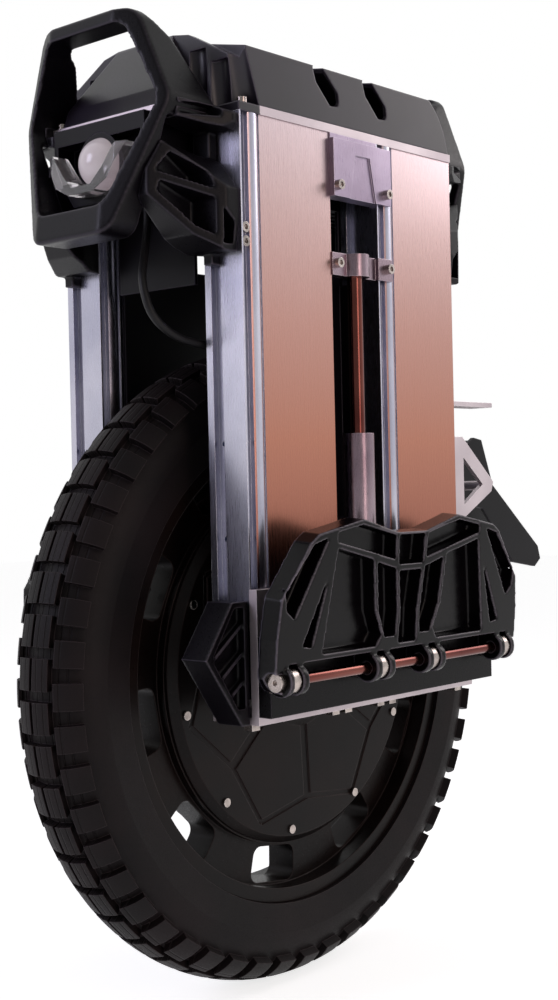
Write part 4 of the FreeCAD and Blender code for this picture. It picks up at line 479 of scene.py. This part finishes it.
# the world's light on the object
WORLD_FILL = 0.25

FLOOR_HALF = 6.0
FLOOR_DROP = 0.5 * MM
FLOOR_SHADE = "#E9E8E9"
FLOOR_ROUGHNESS = 0.9
FLOOR_SHINE = 0.1
FLOOR_GLOW = 0.75


def lamp(name, place, target, size, power, shade):
    """A rectangular lamp that looks at a target; lengths in metres, power in watts."""
    light = bpy.data.lights.new(name, "AREA")
    light.shape = "RECTANGLE"
    light.size, light.size_y = size
    light.energy = power
    light.color = linear(shade)[:3]
    piece = bpy.data.objects.new(name, light)
    piece.location = place
    piece.rotation_euler = (Vector(target) - Vector(place)).to_track_quat("-Z", "Y").to_euler()
    scene.collection.objects.link(piece)


def set_world():
    """White where the camera or clear plastic sees it, and in a reflection of what is behind the object.

    A reflection of what is in front of the object shows a dim room.
    """
    world = bpy.data.worlds.new("studio")
    scene.world = world
    world.use_nodes = True
    tree = world.node_tree
    background = tree.nodes["Background"]
    path = add(tree, "ShaderNodeLightPath").outputs
    way = add(tree, "ShaderNodeTexCoord").outputs["Generated"]
    facing = dot(tree, way, (math.cos(CAMERA_YAW), math.sin(CAMERA_YAW), 0.0))
    room = spread(tree, facing, ROOM_WHITE, ROOM_DIM, ROOM_WHITE_UP_TO, ROOM_DIM_FROM)
    clear = maths(tree, "MAXIMUM", path["Is Camera Ray"], path["Is Transmission Ray"])
    mirrored = maths(tree, "MULTIPLY", room, path["Is Glossy Ray"])
    seen = maths(tree, "MAXIMUM", clear, mirrored)
    tree.links.new(spread(tree, seen, WORLD_FILL, 1.0), background.inputs["Strength"])
    background.inputs["Color"].default_value = WHITE


def set_floor():
    """A white studio floor, lit from itself where it is seen, so that only the object's shadow shows."""
    corners = [(-FLOOR_HALF, -FLOOR_HALF, 0), (FLOOR_HALF, -FLOOR_HALF, 0),
               (FLOOR_HALF, FLOOR_HALF, 0), (-FLOOR_HALF, FLOOR_HALF, 0)]
    mesh = bpy.data.meshes.new("floor")
    mesh.from_pydata(corners, [], [(0, 1, 2, 3)])
    floor = bpy.data.objects.new("floor", mesh)
    floor.location.z = -FLOOR_DROP
    scene.collection.objects.link(floor)
    material, tree, shader = new_material("paper_white_studio_floor")
    shader.inputs["Base Color"].default_value = linear(FLOOR_SHADE)
    shader.inputs["Roughness"].default_value = FLOOR_ROUGHNESS
    shader.inputs["Specular IOR Level"].default_value = FLOOR_SHINE
    shader.inputs["Emission Color"].default_value = WHITE
    path = add(tree, "ShaderNodeLightPath").outputs
    seen = maths(tree, "MAXIMUM", path["Is Camera Ray"], path["Is Glossy Ray"])
    seen = maths(tree, "MAXIMUM", seen, path["Is Transmission Ray"])
    tree.links.new(spread(tree, seen, 0.0, FLOOR_GLOW), shader.inputs["Emission Strength"])
    mesh.materials.append(material)


set_camera()
scene.view_settings.view_transform = "Standard"
set_world()
set_floor()
lamp("key_front", place=(1.7, -0.7, 1.2), target=(0.1, 0, 0.5), size=(0.7, 0.9), power=12.0, shade="#E6E3FF")
lamp("side_warm", place=(0.3, 1.9, 0.9), target=(0, 0, 0.4), size=(0.6, 1.2), power=7.0, shade="#FFE6DC")
lamp("rear_rim", place=(-1.5, 0.7, 1.3), target=(-0.1, 0, 0.6), size=(0.6, 0.8), power=6.0, shade="#FFF6F6")
dress_nodes()
for moulding in ("front_loop", "rear_loop"):
    soften(moulding, cell=1.4, rounds=9)
for casting in ("front_bracket_left", "front_bracket_right", "bumper_guards", "pedal_left", "pedal_right"):
    soften(casting, cell=1.0, rounds=3)
